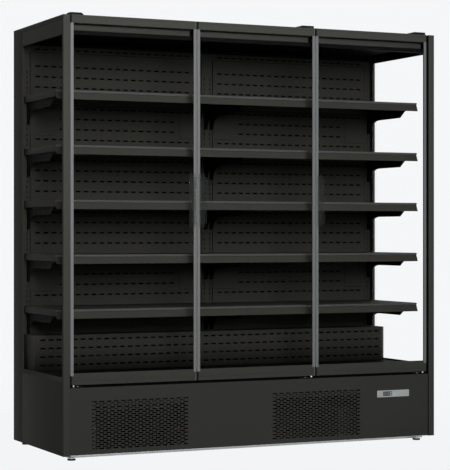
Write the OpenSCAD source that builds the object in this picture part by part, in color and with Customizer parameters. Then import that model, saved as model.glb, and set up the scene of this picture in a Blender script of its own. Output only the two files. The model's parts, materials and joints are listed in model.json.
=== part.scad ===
// Glass door display chiller with three hinged glass doors, glazed end walls,
// two bays of shelves and a refrigeration unit in the base. Millimetres, +Z up.
// The front of the cabinet faces -Y and the origin is on the floor, under the middle.

/* [Cabinet] */
// Width over both end walls
width = 1935; // [1800:5:2100]
// Depth of the end walls
depth = 710; // [680:5:900]
// Height of the end walls above the levelling feet
wall_height = 1975; // [1950:5:2150]
// Height of the levelling feet
foot_height = 20; // [16:1:60]
// Thickness of the end walls
wall_t = 10; // [9:1:14]
// Width of the front posts
post_w = 31; // [24:1:50]
// Depth of the front posts
post_d = 18; // [14:1:30]
// Depth of the rear posts
rear_post_d = 130; // [80:5:180]
// Height of the cap strip on each end wall
cap_h = 21; // [10:1:30]
// Height of the band between the cap and the side glass
band_h = 66; // [40:1:80]
// Height of the rail under the side glass
side_rail_h = 20; // [10:1:40]
// Height of the closed panel at the bottom of each end wall
side_panel_h = 332; // [250:2:345]
// Thickness of the side glass
side_glass_t = 7; // [4:1:8]
// Thickness of the insulated back wall
back_t = 60; // [40:5:80]
// Thickness of the insulated roof
roof_t = 35; // [25:1:37]

/* [Doors] */
// Distance of the door fronts behind the front posts
door_recess = 11; // [6:1:16]
// Thickness of a door
door_t = 24; // [22:1:32]
// Gap between neighbouring doors
door_gap = 4; // [4:0.5:8]
// Gap between an outer door and its front post
door_side_gap = 7; // [5:0.5:12]
// Gap between the ledge and the underside of the doors
door_lift = 10.5; // [8:0.5:20]
// How far the doors stand above the end walls
door_over = 2.5; // [0:0.5:6]
// Height of the rail at the top of a door
top_rail_h = 37; // [25:1:60]
// Height of the rail at the bottom of a door
bottom_rail_h = 52; // [30:1:80]
// Width of the light metal edge along each side of the glass
edge_w = 14; // [10:1:24]
// Wall thickness of the metal edge
edge_wall = 2; // [1:0.25:3]
// Thickness of each glass pane
pane_t = 4; // [3:0.5:6]
// Depth of the seal behind the door rails
seal_d = 8.5; // [8:0.5:10]
// Radius of the hinge pins
pin_r = 5; // [3:0.5:6]
// Running clearance round a hinge pin
pin_clear = 0.05; // [0.02:0.01:0.1]
// How far a hinge pin reaches into the door
pin_in = 18; // [12:1:20]
// Distance of the hinge pin from the edge of its door
pivot_in = 16; // [14:1:16]
// Distance of the hinge pin behind the front of its door
pivot_back = 10; // [9:0.5:11]

/* [Handles] */
// Length of a door handle
handle_h = 250; // [150:5:400]
// Width of a door handle
handle_w = 28; // [20:1:40]
// How far a handle stands in front of its door
handle_reach = 28; // [22:1:45]
// Wall thickness of a handle
handle_wall = 4; // [3:0.5:6]
// Height of the middle of the handles above the base of the walls
handle_mid = 1149; // [900:5:1300]
// Distance of a handle from the free edge of its door
handle_in = 8; // [3:1:20]
// Length of the slope at each end of a handle
handle_slope = 20; // [5:1:40]

/* [Shelves] */
// Height of the top of the middle shelf above the base of the walls
shelf_mid = 1150; // [1145:5:1175]
// Height of the folded edges of a shelf
shelf_h = 30; // [24:1:40]
// Sheet thickness of the shelves
shelf_sheet = 2; // [1:0.25:3]
// Distance of the shelf fronts behind the front posts
shelf_front = 128; // [100:2:200]
// Height of the ticket rail along a shelf front
ticket_h = 42; // [38:1:60]
// Slant of the ticket rail from top to bottom
ticket_slant = 14; // [6:1:24]
// Place where the two bays meet, right of the middle
bay_split = 11; // [-60:1:60]
// Gap between a shelf end and the end wall
shelf_end_gap = 5; // [2:1:15]
// Width of an upright
upright_w = 31; // [24:1:40]
// Thickness of a shelf bracket
bracket_t = 3; // [2:0.5:4]
// Depth of a bracket under its shelf
bracket_h = 65; // [55:1:75]
// Greatest depth of a bracket at the upright
bracket_foot_max = 130; // [120:5:150]

/* [Back panels] */
// Depth of the air duct behind the slotted panels
duct_d = 45; // [30:1:70]
// Sheet thickness of the panels
panel_t = 2; // [1:0.25:3]
// Number of slots in a row
slot_count = 21; // [8:1:24]
// Length of a slot
slot_l = 25; // [10:1:30]
// Height of a slot
slot_h = 7.5; // [3:0.5:10]
// Height of the slotted rail above the panels
head_rail_h = 31; // [20:1:32]

/* [Base] */
// Height of the top edge of the lower front panel above the base of the walls
panel_top_h = 304.5; // [302:0.5:308]
// Height of the top of the deck above that edge
deck_rise = 40.5; // [40:0.5:52]
// Height of the air riser above the deck
riser_h = 170; // [150:2:170]
// Depth of the air riser
riser_d = 146; // [140:2:200]
// Number of slots in a row of the riser
riser_slots = 46; // [20:1:48]
// Thickness of the insulated floor
floor_t = 40; // [30:1:50]
// Height of the insulated floor above the base of the walls
floor_h = 215; // [210:1:225]
// Distance of the lower front panel behind the front posts
front_recess = 5; // [2:0.5:8]
// Sheet thickness of the lower front panel
front_sheet = 1.5; // [1:0.25:3]
// Columns of slots in a grille
grille_columns = 14; // [6:1:16]
// Rows of slots in a grille
grille_rows = 13; // [6:1:14]
// Distance from column to column of a grille
grille_step = 34.5; // [31:0.5:36]
// Height from row to row of a grille
grille_rise = 17.6; // [17:0.1:19]
// Length of a grille slot
vent_l = 24; // [14:1:26]
// Height of a grille slot
vent_h = 6; // [3:0.5:7]

/* [Controller] */
// Width of the controller plate
plate_w = 180; // [140:5:220]
// Height of the controller plate
plate_h = 33; // [28:1:40]
// Distance of the middle of the controller plate from the right post
plate_in = 201; // [150:1:220]
// Width of the display
display_w = 49; // [44:1:56]
// Height of the display
display_h = 21; // [20:1:24]
// Travel of a key
key_travel = 1; // [0.5:0.1:1.5]

/* [Fans] */
// Radius of an evaporator fan
evap_fan_r = 58; // [45:1:60]
// Radius of the condenser fan
cond_fan_r = 84; // [60:1:86]
// Running clearance between a fan hub and its shaft
shaft_clear = 0.05; // [0.02:0.01:0.1]
// Radius of the fan shafts
shaft_r = 4; // [3:0.5:5]

/* [Hidden] */
$fn = 48;

charcoal = "#33322e";
charcoal_side = "#22221f";
near_black = "#0c0c0b";
light_edge = "#6a6b6b";
clear_glass = "#dfe6e6";
smoke = "#55544f";
galvanised = "#8d9090";
silver = "#878786";
copper = "#a0673f";

// Planes across the cabinet
x_out = width / 2;
x_in = x_out - wall_t;
x_post = x_out - post_w;

// Planes along the depth, measured as d behind the front of the end walls
handle_proud = handle_reach - door_recess;
y_front = handle_proud - (depth + handle_proud) / 2;
door_back = door_recess + door_t;
seal_gap = 0.5;
frame_d = door_back + seal_d + seal_gap;
back_d = depth - back_t;
wall_d = back_d - duct_d;
riser_front = wall_d - riser_d;

// Levels, measured as h above the base of the end walls
ledge_t = 2;
door_bottom = panel_top_h + ledge_t + door_lift;
deck_top = panel_top_h + deck_rise;
glass_low = side_panel_h + side_rail_h;
glass_high = wall_height - cap_h - band_h;
roof_low = wall_height - roof_t;
floor_top = floor_h + floor_t;
liner_t = 2;
liner_drop = 10;
liner_h = roof_low - liner_drop;
back_drop = 42;
back_top = roof_low - back_drop;
panel_top = back_top - head_rail_h;
riser_top = deck_top + riser_h;
deck_sheet = 5;

// A box between two places on each axis
module slab(x0, x1, d0, d1, h0, h1)
    translate([x0, y_front + d0, foot_height + h0])
        cube([x1 - x0, d1 - d0, h1 - h0]);

// The same box on the left and on the right
module both_sides()
    for (s = [0, 1])
        mirror([s, 0, 0]) children();

// Base frame: a tray with two long rails and cross rails under it
tray_t = 3;
rail_h = 13;
rail_w = 40;
rail_front = 46;
rail_rear_in = 105;
rail_rear = depth - rail_rear_in;
rail_inset = 30;

module base_frame() {
    color(galvanised) {
        slab(-x_in, x_in, post_d, depth - front_sheet, 0, tray_t);
        slab(-x_post, x_post, front_recess + front_sheet, post_d, 0, tray_t);
        for (d = [rail_front, rail_rear])
            slab(-x_in + rail_inset, x_in - rail_inset, d, d + rail_w, -rail_h, 0);
    }
}

// Levelling feet: a round pad with a hexagon and a short stem
pad_r = 19;
pad_h = 8;
foot_left_x = -x_out + 47;
foot_right_x = x_out - 87;
foot_front_d = 25;
foot_rear_d = depth - 45;
foot_edge = 2;

module levelling_foot() {
    cylinder(r1 = pad_r - foot_edge, r2 = pad_r, h = foot_edge);
    translate([0, 0, foot_edge]) cylinder(r = pad_r, h = pad_h - foot_edge);
    translate([0, 0, pad_h]) cylinder(r = 11, h = 4, $fn = 6);
    translate([0, 0, pad_h]) cylinder(r = 5, h = foot_height - pad_h);
}

module levelling_feet() {
    color(near_black)
        for (x = [foot_left_x, foot_right_x])
            for (d = [foot_front_d, foot_rear_d])
                translate([x, y_front + d, 0]) levelling_foot();
}

// End wall: front post, rear post, band with a cap, and the rail under the glass
seam = 2;
seam_depth = 1.2;
rear_post_front = depth - rear_post_d;

module end_frame() {
    color(charcoal) difference() {
        union() {
            slab(-x_out, -x_post, 0, post_d, 0, wall_height);
            slab(-x_out, -x_in, rear_post_front, depth, 0, wall_height);
            slab(-x_out, -x_in, post_d - 1, rear_post_front + 1, glass_high, wall_height);
            slab(-x_out, -x_in, post_d - 1, rear_post_front + 1, side_panel_h, glass_low);
        }
        slab(-x_out - 1, -x_out + seam_depth, post_d, rear_post_front,
            wall_height - cap_h - seam, wall_height - cap_h);
        slab(-x_out - 1, -x_out + seam_depth, rear_post_front - seam, rear_post_front,
            glass_high - 1, wall_height - cap_h);
    }
}

module end_frame_left() end_frame();
module end_frame_right() mirror([1, 0, 0]) end_frame();

glass_back = (wall_t - side_glass_t) / 2;

module end_glasses() {
    color(clear_glass, 0.3) both_sides()
        slab(-x_out + glass_back, -x_in - glass_back, post_d, rear_post_front, glass_low, glass_high);
}

module side_panels() {
    color(charcoal_side) both_sides()
        slab(-x_out, -x_in, post_d, rear_post_front, 0, side_panel_h);
}

// Back wall above the insulated floor, and a panel with hooded vents below it
vent_back_count = 24;
vent_back_step = 60;
vent_back_w = 30;
vent_back_h = 8;
vent_back_low = 60;
vent_back_rise = 25;
vent_back_rows = 4;
hood_sheet = 2;
hood_drop = 3;
hood_out = 13;

module rear_wall() {
    color(charcoal) slab(-x_in, x_in, back_d, depth, floor_h, roof_low);
}

// A hood inside the panel, slanted so that the vents can't be seen through
module vent_hood(x0, x1, h) {
    translate([x0, y_front + depth - front_sheet, foot_height + h - hood_drop])
        rotate([90, 0, 90]) linear_extrude(x1 - x0) polygon([
            [0.5, -hood_sheet - 0.5], [0.5, -0.5],
            [-hood_out, hood_out], [-hood_out, hood_out - hood_sheet]
        ]);
}

module lower_rear_panel() {
    vents_x = vent_back_count / 2 * vent_back_step;
    color(charcoal) {
        difference() {
            slab(-x_in, x_in, depth - front_sheet, depth, 0, floor_h);
            for (k = [0 : vent_back_count - 1])
                for (r = [0 : vent_back_rows - 1])
                    translate([-vents_x + (k + 0.5) * vent_back_step - vent_back_w / 2,
                        y_front + depth - front_sheet - 1,
                        foot_height + vent_back_low + r * vent_back_rise])
                        cube([vent_back_w, front_sheet + 2, vent_back_h]);
        }
        for (r = [0 : vent_back_rows - 1])
            vent_hood(-vents_x, vents_x, vent_back_low + r * vent_back_rise);
    }
}

// Roof and the black inner lining of the canopy
canopy_sheet = 2.5;
canopy_d = 30;
liner_front = frame_d + canopy_d + canopy_sheet;

module roof_panel() {
    color(charcoal) slab(-x_in, x_in, frame_d, depth, roof_low, wall_height);
}

module canopy_liner() {
    color(near_black) {
        slab(-x_in, x_in, liner_front, back_d, liner_h - liner_t, liner_h);
        slab(-x_in, x_in, wall_d, wall_d + liner_t, back_top, liner_h - liner_t);
        for (x = [-x_in, -liner_t / 2, x_in - liner_t])
            slab(x, x + liner_t, liner_front, back_d, liner_h, roof_low);
    }
}

// Fixed front of the canopy behind the door tops, with a lip under the lights
canopy_x = x_in - 17;
cover_h = 26;
cover_low = roof_low - 3 - cover_h;
lip_h = 16.5;
canopy_low = cover_low - 2 - lip_h;

module canopy_front() {
    color(charcoal) {
        slab(-canopy_x, canopy_x, frame_d + canopy_d, frame_d + canopy_d + canopy_sheet,
            canopy_low, roof_low);
        slab(-canopy_x, canopy_x, frame_d + canopy_sheet, frame_d + canopy_d,
            canopy_low, canopy_low + canopy_sheet);
        slab(-canopy_x, canopy_x, frame_d, frame_d + canopy_sheet, canopy_low, canopy_low + lip_h);
    }
}

// Doors: places, sizes and hinge sides, from left to right
door_w = (2 * (x_post - door_side_gap) - 2 * door_gap) / 3;
door_top = wall_height + door_over;
pane_low = door_bottom + bottom_rail_h;
pane_high = door_top - top_rail_h;
hinge_left = [true, false, false];
function door_x0(i) = -x_post + door_side_gap + i * (door_w + door_gap);
function door_x1(i) = door_x0(i) + door_w;
function pivot_x(i) = hinge_left[i] ? door_x0(i) + pivot_in : door_x1(i) - pivot_in;
pivot_d = door_recess + pivot_back;

// Light covers: one length behind each door, with a short dark gap at its right end
cover_d = 25;
cover_wall = 2;
cover_front = frame_d + canopy_d - cover_d;
cover_gap = 20;
led_d = 9;

function cover_x0(i) = i == 0 ? -canopy_x : door_x0(i);
function cover_x1(i) = i == 2 ? canopy_x - cover_gap : door_x1(i) - cover_gap + 2;

module light_covers() {
    color(light_edge) for (i = [0 : 2]) difference() {
        slab(cover_x0(i), cover_x1(i), cover_front, cover_front + cover_d,
            cover_low, cover_low + cover_h);
        slab(cover_x0(i) - 1, cover_x1(i) + 1, cover_front + cover_wall, cover_front + cover_d + 1,
            cover_low + cover_wall, cover_low + cover_h - cover_wall);
    }
}

module led_tubes() {
    color("#e8ece8") for (i = [0 : 2])
        slab(cover_x0(i) + 10, cover_x1(i) - 10, frame_d + canopy_d - led_d, frame_d + canopy_d,
            cover_low + 6, cover_low + cover_h - 6);
}

// Honeycomb that straightens the air curtain behind the lights
comb_d = 100;
comb_h = 20;
comb_cells_x = 56;
comb_cells_d = 3;
comb_wall = 3;
comb_front = liner_front + 8;
comb_x = canopy_x;

module air_honeycomb() {
    step_x = (2 * comb_x - comb_wall) / comb_cells_x;
    step_d = (comb_d - comb_wall) / comb_cells_d;
    color(near_black)
        translate([-comb_x, y_front + comb_front, foot_height + liner_h - liner_t - comb_h])
            linear_extrude(comb_h) difference() {
                square([2 * comb_x, comb_d]);
                for (i = [0 : comb_cells_x - 1])
                    for (j = [0 : comb_cells_d - 1])
                        translate([comb_wall + i * step_x, comb_wall + j * step_d])
                            square([step_x - comb_wall, step_d - comb_wall]);
            }
}

// Uprights: one at each end and two side by side where the bays meet
upright_in = 22.5;
upright_x = [
    -x_in + upright_in, bay_split - upright_w / 2, bay_split + upright_w / 2, x_in - upright_in
];
upright_sheet = 2.5;
hook_pitch = 25;
shelf_pitch = 10 * hook_pitch;
slot_pitch = shelf_pitch / 5;
hook_w = bracket_t + 1;
hook_h = 15;
hook_over = 112.5;
hook_top = shelf_mid + 2 * shelf_pitch + hook_over;
hook_margin = 10;
hook_count = floor((hook_top - riser_top - hook_margin) / hook_pitch) + 1;

module upright(x) {
    difference() {
        slab(x - upright_w / 2, x + upright_w / 2, wall_d, back_d, riser_top, back_top);
        slab(x - upright_w / 2 + upright_sheet, x + upright_w / 2 - upright_sheet,
            wall_d + upright_sheet, back_d + 1, riser_top - 1, back_top + 1);
        for (k = [0 : hook_count - 1])
            slab(x - hook_w / 2, x + hook_w / 2, wall_d - 1, wall_d + upright_sheet + 1,
                hook_top - k * hook_pitch, hook_top - k * hook_pitch + hook_h);
    }
}

module shelf_uprights() {
    color(charcoal) for (x = upright_x) upright(x);
}

// Slotted panels of one bay, with a slotted rail above and a blank strip below
shelf_levels = 5;
panel_gap = 1;
slot_margin = 38;
cover_plate_w = 118;
cover_plate_t = 1;
cover_slots = 3;
function shelf_top(k) = shelf_mid + (2 - k) * shelf_pitch;
function short_row(k, r) = (k == 1 || k == 4) && (r == 1 || r == 2);

module slot_row(x0, x1, h, skip) {
    step = (x1 - x0 - 2 * slot_margin) / (slot_count - 1);
    for (i = [skip : slot_count - 1 - skip])
        translate([x0 + slot_margin + i * step - slot_l / 2, h - slot_h / 2])
            square([slot_l, slot_h]);
}

// A panel hangs from just below one shelf to just below the next
module slotted_panel(x0, x1, top, low, k) {
    translate([0, y_front + wall_d + panel_t, foot_height])
        rotate([90, 0, 0]) linear_extrude(panel_t) difference() {
            translate([x0, low]) square([x1 - x0, top - low]);
            for (r = [0 : 3])
                if (k > 0 || r > 0)
                    slot_row(x0, x1, shelf_top(k) + (4 - r) * slot_pitch,
                        short_row(k, r) ? cover_slots : 0);
        }
}

module back_panels(x0, x1) {
    first_low = shelf_top(0) - slot_pitch * 2 / 3;
    color(charcoal) {
        translate([0, y_front + wall_d + panel_t, foot_height])
            rotate([90, 0, 0]) linear_extrude(panel_t) difference() {
                translate([x0, panel_top + panel_gap]) square([x1 - x0, head_rail_h - panel_gap]);
                slot_row(x0, x1, panel_top + head_rail_h / 2 - 1, 0);
            }
        for (k = [0 : shelf_levels - 1]) {
            top = k == 0 ? panel_top : first_low - (k - 1) * shelf_pitch - panel_gap;
            slotted_panel(x0, x1, top, first_low - k * shelf_pitch, k);
        }
        slab(x0, x1, wall_d, wall_d + panel_t, riser_top,
            first_low - (shelf_levels - 1) * shelf_pitch - panel_gap);
        for (k = [1, 4]) for (x = [x0, x1 - cover_plate_w])
            slab(x, x + cover_plate_w, wall_d - cover_plate_t, wall_d,
                shelf_top(k) + 1.4 * slot_pitch, shelf_top(k) + 3.6 * slot_pitch);
    }
}

module back_panels_left()
    back_panels(upright_x[0] + upright_w / 2, upright_x[1] - upright_w / 2);
module back_panels_right()
    back_panels(upright_x[2] + upright_w / 2, upright_x[3] - upright_w / 2);

// Air riser behind the deck: a slotted front, a top and two ends
riser_x = x_in - 9;
riser_row_low = 28;
riser_row_pitch = (riser_h - riser_row_low - 22) / 3;
riser_margin = 43;

module riser_cover() {
    step = 2 * (riser_x - riser_margin) / (riser_slots - 1);
    color(charcoal) {
        translate([0, y_front + riser_front + panel_t, foot_height])
            rotate([90, 0, 0]) linear_extrude(panel_t) difference() {
                translate([-riser_x, deck_top]) square([2 * riser_x, riser_h]);
                for (r = [0 : 3])
                    for (i = [0 : riser_slots - 1])
                        translate([-riser_x + riser_margin + i * step - slot_l / 2,
                            deck_top + riser_row_low + r * riser_row_pitch - slot_h / 2])
                            square([slot_l, slot_h]);
            }
        slab(-riser_x, riser_x, riser_front + panel_t, wall_d, riser_top - panel_t, riser_top);
        for (x = [-riser_x, riser_x - panel_t])
            slab(x, x + panel_t, riser_front + panel_t, wall_d, deck_top, riser_top - panel_t);
    }
}

// Evaporator fans lie flat in the riser and blow upwards
fan_x = [-600, 0, 600];
fan_d = riser_front + (wall_d - riser_front) / 2 + 1;
plate_level = deck_top + 50;
fan_plate_t = 2;
evap_hub_r = 20;
evap_fan_h = 26;
motor_r = 24;
motor_h = 32;
arm_w = 12;
arm_t = 3;

module fan_plate() {
    color(galvanised) difference() {
        slab(-riser_x + panel_t, riser_x - panel_t, riser_front + panel_t, wall_d,
            plate_level, plate_level + fan_plate_t);
        for (x = fan_x)
            translate([x, y_front + fan_d, foot_height + plate_level - 1])
                cylinder(r = evap_fan_r + 4, h = fan_plate_t + 2);
    }
}

module evaporator_fan_motors() {
    color(near_black) for (x = fan_x)
        translate([x, y_front + fan_d, foot_height + plate_level]) {
            translate([0, 0, -arm_t - motor_h]) cylinder(r = motor_r, h = motor_h);
            translate([0, 0, -arm_t]) intersection() {
                cylinder(r = evap_fan_r + 8, h = arm_t);
                for (a = [0, 60, 120])
                    rotate([0, 0, a]) translate([-evap_fan_r - 8, -arm_w / 2, 0])
                        cube([2 * evap_fan_r + 16, arm_w, arm_t]);
            }
            cylinder(r = shaft_r, h = 4 + evap_fan_h + 2);
        }
}

// A rotor with tilted blades round a hub; the hub turns on a fixed shaft
module rotor(r, hub_r, h, blades, tilt) {
    blade_t = 2.4;
    difference() {
        union() {
            cylinder(r = hub_r, h = h);
            intersection() {
                cylinder(r = r, h = h);
                for (b = [0 : blades - 1])
                    rotate([0, 0, b * 360 / blades])
                        translate([hub_r - 4, 0, h / 2]) rotate([tilt, 0, 0])
                            translate([0, -r / 3, -blade_t / 2])
                                cube([r, 2 * r / 3, blade_t]);
            }
        }
        translate([0, 0, -1]) cylinder(r = shaft_r + shaft_clear, h = h + 2);
    }
}

module evaporator_fan(i) {
    color("#3a3c3e")
        translate([fan_x[i], y_front + fan_d, foot_height + plate_level + 4])
            rotor(evap_fan_r, evap_hub_r, evap_fan_h, 5, 28);
}

module evaporator_fan_left() evaporator_fan(0);
module evaporator_fan_middle() evaporator_fan(1);
module evaporator_fan_right() evaporator_fan(2);

// Flat evaporator coil under the deck, on the insulated floor
coil_x = x_in - 107;
coil_front = frame_d + 56;
coil_d = 320;
coil_h = deck_top - deck_sheet - floor_top - 12;
coil_rows = 6;
tube_r = 5;
end_plate_t = 2;

module evaporator_coil() {
    row_step = coil_d / coil_rows;
    color(silver) {
        slab(-coil_x, coil_x, coil_front, coil_front + coil_d, floor_top + 4, floor_top + 4 + coil_h);
        for (x = [-coil_x - end_plate_t, coil_x])
            slab(x, x + end_plate_t, coil_front - 4, coil_front + coil_d + 4,
                floor_top, floor_top + 4 + coil_h);
    }
    color(copper) for (s = [-1, 1]) for (j = [0 : coil_rows / 2 - 1])
        translate([s * (coil_x + end_plate_t), y_front + coil_front + row_step * (1 + 2 * j),
            foot_height + floor_top + 4 + coil_h / 2])
            rotate([0, s * 90, 0]) rotate([0, 0, 90]) rotate([90, 0, 0])
                rotate_extrude(angle = 180) translate([row_step / 2, 0]) circle(r = tube_r);
}

// Insulated floor between the machine space and the air duct
pipe_r = 6;
pipe_x = 200;
pipe_apart = 20;
pipe_d = back_d - 60;
pipe_clear = 0.3;

module insulated_floor() {
    color("#55544f") difference() {
        slab(-x_in, x_in, frame_d, back_d, floor_h, floor_top);
        for (s = [-1, 1])
            translate([pipe_x + s * pipe_apart, y_front + pipe_d, foot_height + floor_h - 1])
                cylinder(r = pipe_r + pipe_clear, h = floor_t + 2);
    }
}

// Sill: the wall in front of the deck, the ledge under the doors and a jamb behind each post
sill_d = 20;
jamb_t = 2;

module door_sill() {
    color(near_black) {
        slab(-x_in, x_in, frame_d, frame_d + sill_d, floor_top, deck_top - deck_sheet);
        slab(-x_post, x_post, front_recess + front_sheet, post_d, panel_top_h, panel_top_h + ledge_t);
        slab(-x_in, x_in, post_d, frame_d, panel_top_h, panel_top_h + ledge_t);
        both_sides()
            slab(-x_post - jamb_t, -x_post, post_d, frame_d, panel_top_h, wall_height);
    }
}

// Deck: two folded trays with an air return grille along the front
return_slot_w = 30;
return_slot_l = 8;
return_count = 22;

module deck_tray(x0, x1) {
    step = (x1 - x0 - 60) / return_count;
    difference() {
        slab(x0, x1, frame_d, riser_front - 0.5, deck_top - deck_sheet, deck_top);
        slab(x0 + 2, x1 - 2, frame_d + sill_d, riser_front - 2.5,
            deck_top - deck_sheet - 1, deck_top - 2);
        for (i = [0 : return_count - 1])
            for (r = [0 : 1])
                slab(x0 + 30 + i * step, x0 + 30 + i * step + return_slot_w,
                    frame_d + 30 + 18 * r, frame_d + 30 + 18 * r + return_slot_l,
                    deck_top - deck_sheet - 1, deck_top + 1);
    }
}

module deck_trays() {
    color(charcoal) {
        deck_tray(-x_in, bay_split - 0.5);
        deck_tray(bay_split + 0.5, x_in);
    }
}

// Shelves: folded sheet trays with a stiffening channel below and notches for the brackets
ticket_t = 3;
tray_front = shelf_front + ticket_slant + ticket_t;
tray_rear = wall_d - 5;
notch_gap = 0.5;
channel_in = 60;
channel_back = 200;
channel_w = 60;
channel_h = 12;

module shelf(x0, x1, k) {
    top = shelf_top(k);
    difference() {
        slab(x0, x1, tray_front, tray_rear, top - shelf_h, top);
        slab(x0 + shelf_sheet, x1 - shelf_sheet, tray_front + shelf_sheet, tray_rear - shelf_sheet,
            top - shelf_h - 1, top - shelf_sheet);
        for (x = upright_x)
            slab(x - bracket_t / 2 - notch_gap, x + bracket_t / 2 + notch_gap,
                tray_rear - shelf_sheet - 1, tray_rear + 1, top - shelf_h - 1, top - shelf_sheet);
    }
    slab(x0 + channel_in, x1 - channel_in, tray_front + channel_back,
        tray_front + channel_back + channel_w, top - shelf_sheet - channel_h, top - shelf_sheet);
}

shelf_x0 = -x_in + shelf_end_gap;
shelf_x1 = x_in - shelf_end_gap;

module shelves_left() {
    color(charcoal) for (k = [0 : shelf_levels - 1]) shelf(shelf_x0, bay_split - 0.5, k);
}

module shelves_right() {
    color(charcoal) for (k = [0 : shelf_levels - 1]) shelf(bay_split + 0.5, shelf_x1, k);
}

// Ticket rail: a slanted strip under a rolled top edge
roll_r = 4;

module ticket_profile() {
    translate([ticket_slant + ticket_t - roll_r, -roll_r]) circle(r = roll_r);
    polygon([
        [0, -ticket_h], [ticket_t, -ticket_h],
        [ticket_slant + ticket_t, -10], [ticket_slant + ticket_t, -roll_r],
        [ticket_slant - 1, -roll_r], [ticket_slant - 1, -10]
    ]);
}

module ticket_rail(x0, x1, k) {
    translate([x0, y_front + shelf_front, foot_height + shelf_top(k)])
        rotate([90, 0, 90]) linear_extrude(x1 - x0) ticket_profile();
}

module ticket_rails() {
    color(charcoal) for (k = [0 : shelf_levels - 1]) {
        ticket_rail(shelf_x0, bay_split - 0.5, k);
        ticket_rail(bay_split + 0.5, shelf_x1, k);
    }
}

// Shelf bracket: a plate with a chamfered nose and a curved foot with hooks
bracket_front = tray_front + 55;
bracket_foot = min(bracket_foot_max, shelf_top(shelf_levels - 1) - shelf_sheet - riser_top - 2);
bracket_curve = bracket_foot - bracket_h;
hook_l = 6;
hook_clear = 0.5;
hook_first = 55;
hook_steps = floor((bracket_foot - hook_first - hook_margin) / hook_pitch);
hook_drop = [hook_first, hook_first + hook_steps * hook_pitch];

module bracket(x, k) {
    rear = wall_d - bracket_front;
    translate([x - bracket_t / 2, y_front + bracket_front, foot_height + shelf_top(k) - shelf_sheet])
        rotate([90, 0, 90]) linear_extrude(bracket_t) union() {
            difference() {
                polygon([
                    [0, 0], [rear, 0], [rear, -bracket_foot], [rear - 20, -bracket_foot],
                    [rear - 20 - bracket_curve, -bracket_h], [70, -bracket_h], [24, -shelf_h - 5],
                    [0, -shelf_h]
                ]);
                translate([rear - 20 - bracket_curve, -bracket_foot]) circle(r = bracket_curve);
                translate([95, -bracket_h + 8]) circle(r = 3);
            }
            for (z = hook_drop)
                translate([rear, shelf_sheet - z - hook_h / 2 + hook_clear])
                    square([hook_l, hook_h - 2 * hook_clear]);
        }
}

module shelf_brackets() {
    color(near_black) for (k = [0 : shelf_levels - 1]) for (x = upright_x) bracket(x, k);
}

// Lower front panel with two staggered grilles
grille_in = 118.5;
grille_left_x = -x_post + grille_in;
grille_right_x = 91;
grille_low = 28.5;
panel_low = tray_t;
panel_side_gap = 1.5;
flange_d = 20;
flange_t = 1.5;
body_gap = 0.5;

module vent_slot() square([vent_l, vent_h], center = true);

module grille(x) {
    for (r = [0 : grille_rows - 1])
        for (c = [0 : grille_columns - 1])
            translate([x + c * grille_step, grille_low + r * grille_rise]) vent_slot();
    for (r = [0 : grille_rows - 2])
        for (c = [0 : grille_columns - 2])
            translate([x + (c + 0.5) * grille_step, grille_low + (r + 0.5) * grille_rise]) vent_slot();
}

module lower_front_panel() {
    x = x_post - panel_side_gap;
    color(charcoal) {
        translate([0, y_front + front_recess + front_sheet, foot_height])
            rotate([90, 0, 0]) linear_extrude(front_sheet) difference() {
                translate([-x, panel_low]) square([2 * x, panel_top_h - panel_low]);
                grille(grille_left_x);
                grille(grille_right_x);
                translate([plate_x - body_w / 2 - body_gap, plate_mid - body_h / 2 - body_gap])
                    square([body_w + 2 * body_gap, body_h + 2 * body_gap]);
            }
        for (h = [panel_low, panel_top_h - flange_t])
            slab(-x, x, front_recess + front_sheet, front_recess + front_sheet + flange_d,
                h, h + flange_t);
    }
}

// Controller: a plate on the panel, a display in its window and two keys
plate_x = x_post - plate_in;
plate_mid = 216;
plate_t = 2.5;
plate_r = 4;
display_x = plate_x - 31;
body_w = 120;
body_h = 26;
body_d = 34;
body_wall = 2;
key_w = 11;
key_h = 8;
key_x = display_x + display_w / 2 - key_w / 2 - 2.5;
key_gap = 0.4;
screen_rim = 3;
screen_w = display_w - 2 * screen_rim - key_w - 2;
display_proud = 1;
key_depth = 5;
key_proud = display_proud + key_travel + 0.3;
plate_front = front_recess - plate_t;
function key_mid(i) = plate_mid + (i == 0 ? 1 : -1) * (key_h / 2 + 1);

module controller_plate() {
    color(silver) translate([0, y_front + front_recess, foot_height])
        rotate([90, 0, 0]) linear_extrude(plate_t) difference() {
            union() {
                translate([plate_x - plate_w / 2 + plate_r, plate_mid - plate_h / 2])
                    square([plate_w - 2 * plate_r, plate_h]);
                translate([plate_x - plate_w / 2, plate_mid - plate_h / 2 + plate_r])
                    square([plate_w, plate_h - 2 * plate_r]);
                for (sx = [-1, 1]) for (sz = [-1, 1])
                    translate([plate_x + sx * (plate_w / 2 - plate_r),
                        plate_mid + sz * (plate_h / 2 - plate_r)]) circle(r = plate_r);
            }
            translate([display_x - display_w / 2 - body_gap / 2, plate_mid - display_h / 2 - body_gap / 2])
                square([display_w + body_gap, display_h + body_gap]);
        }
}

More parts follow.
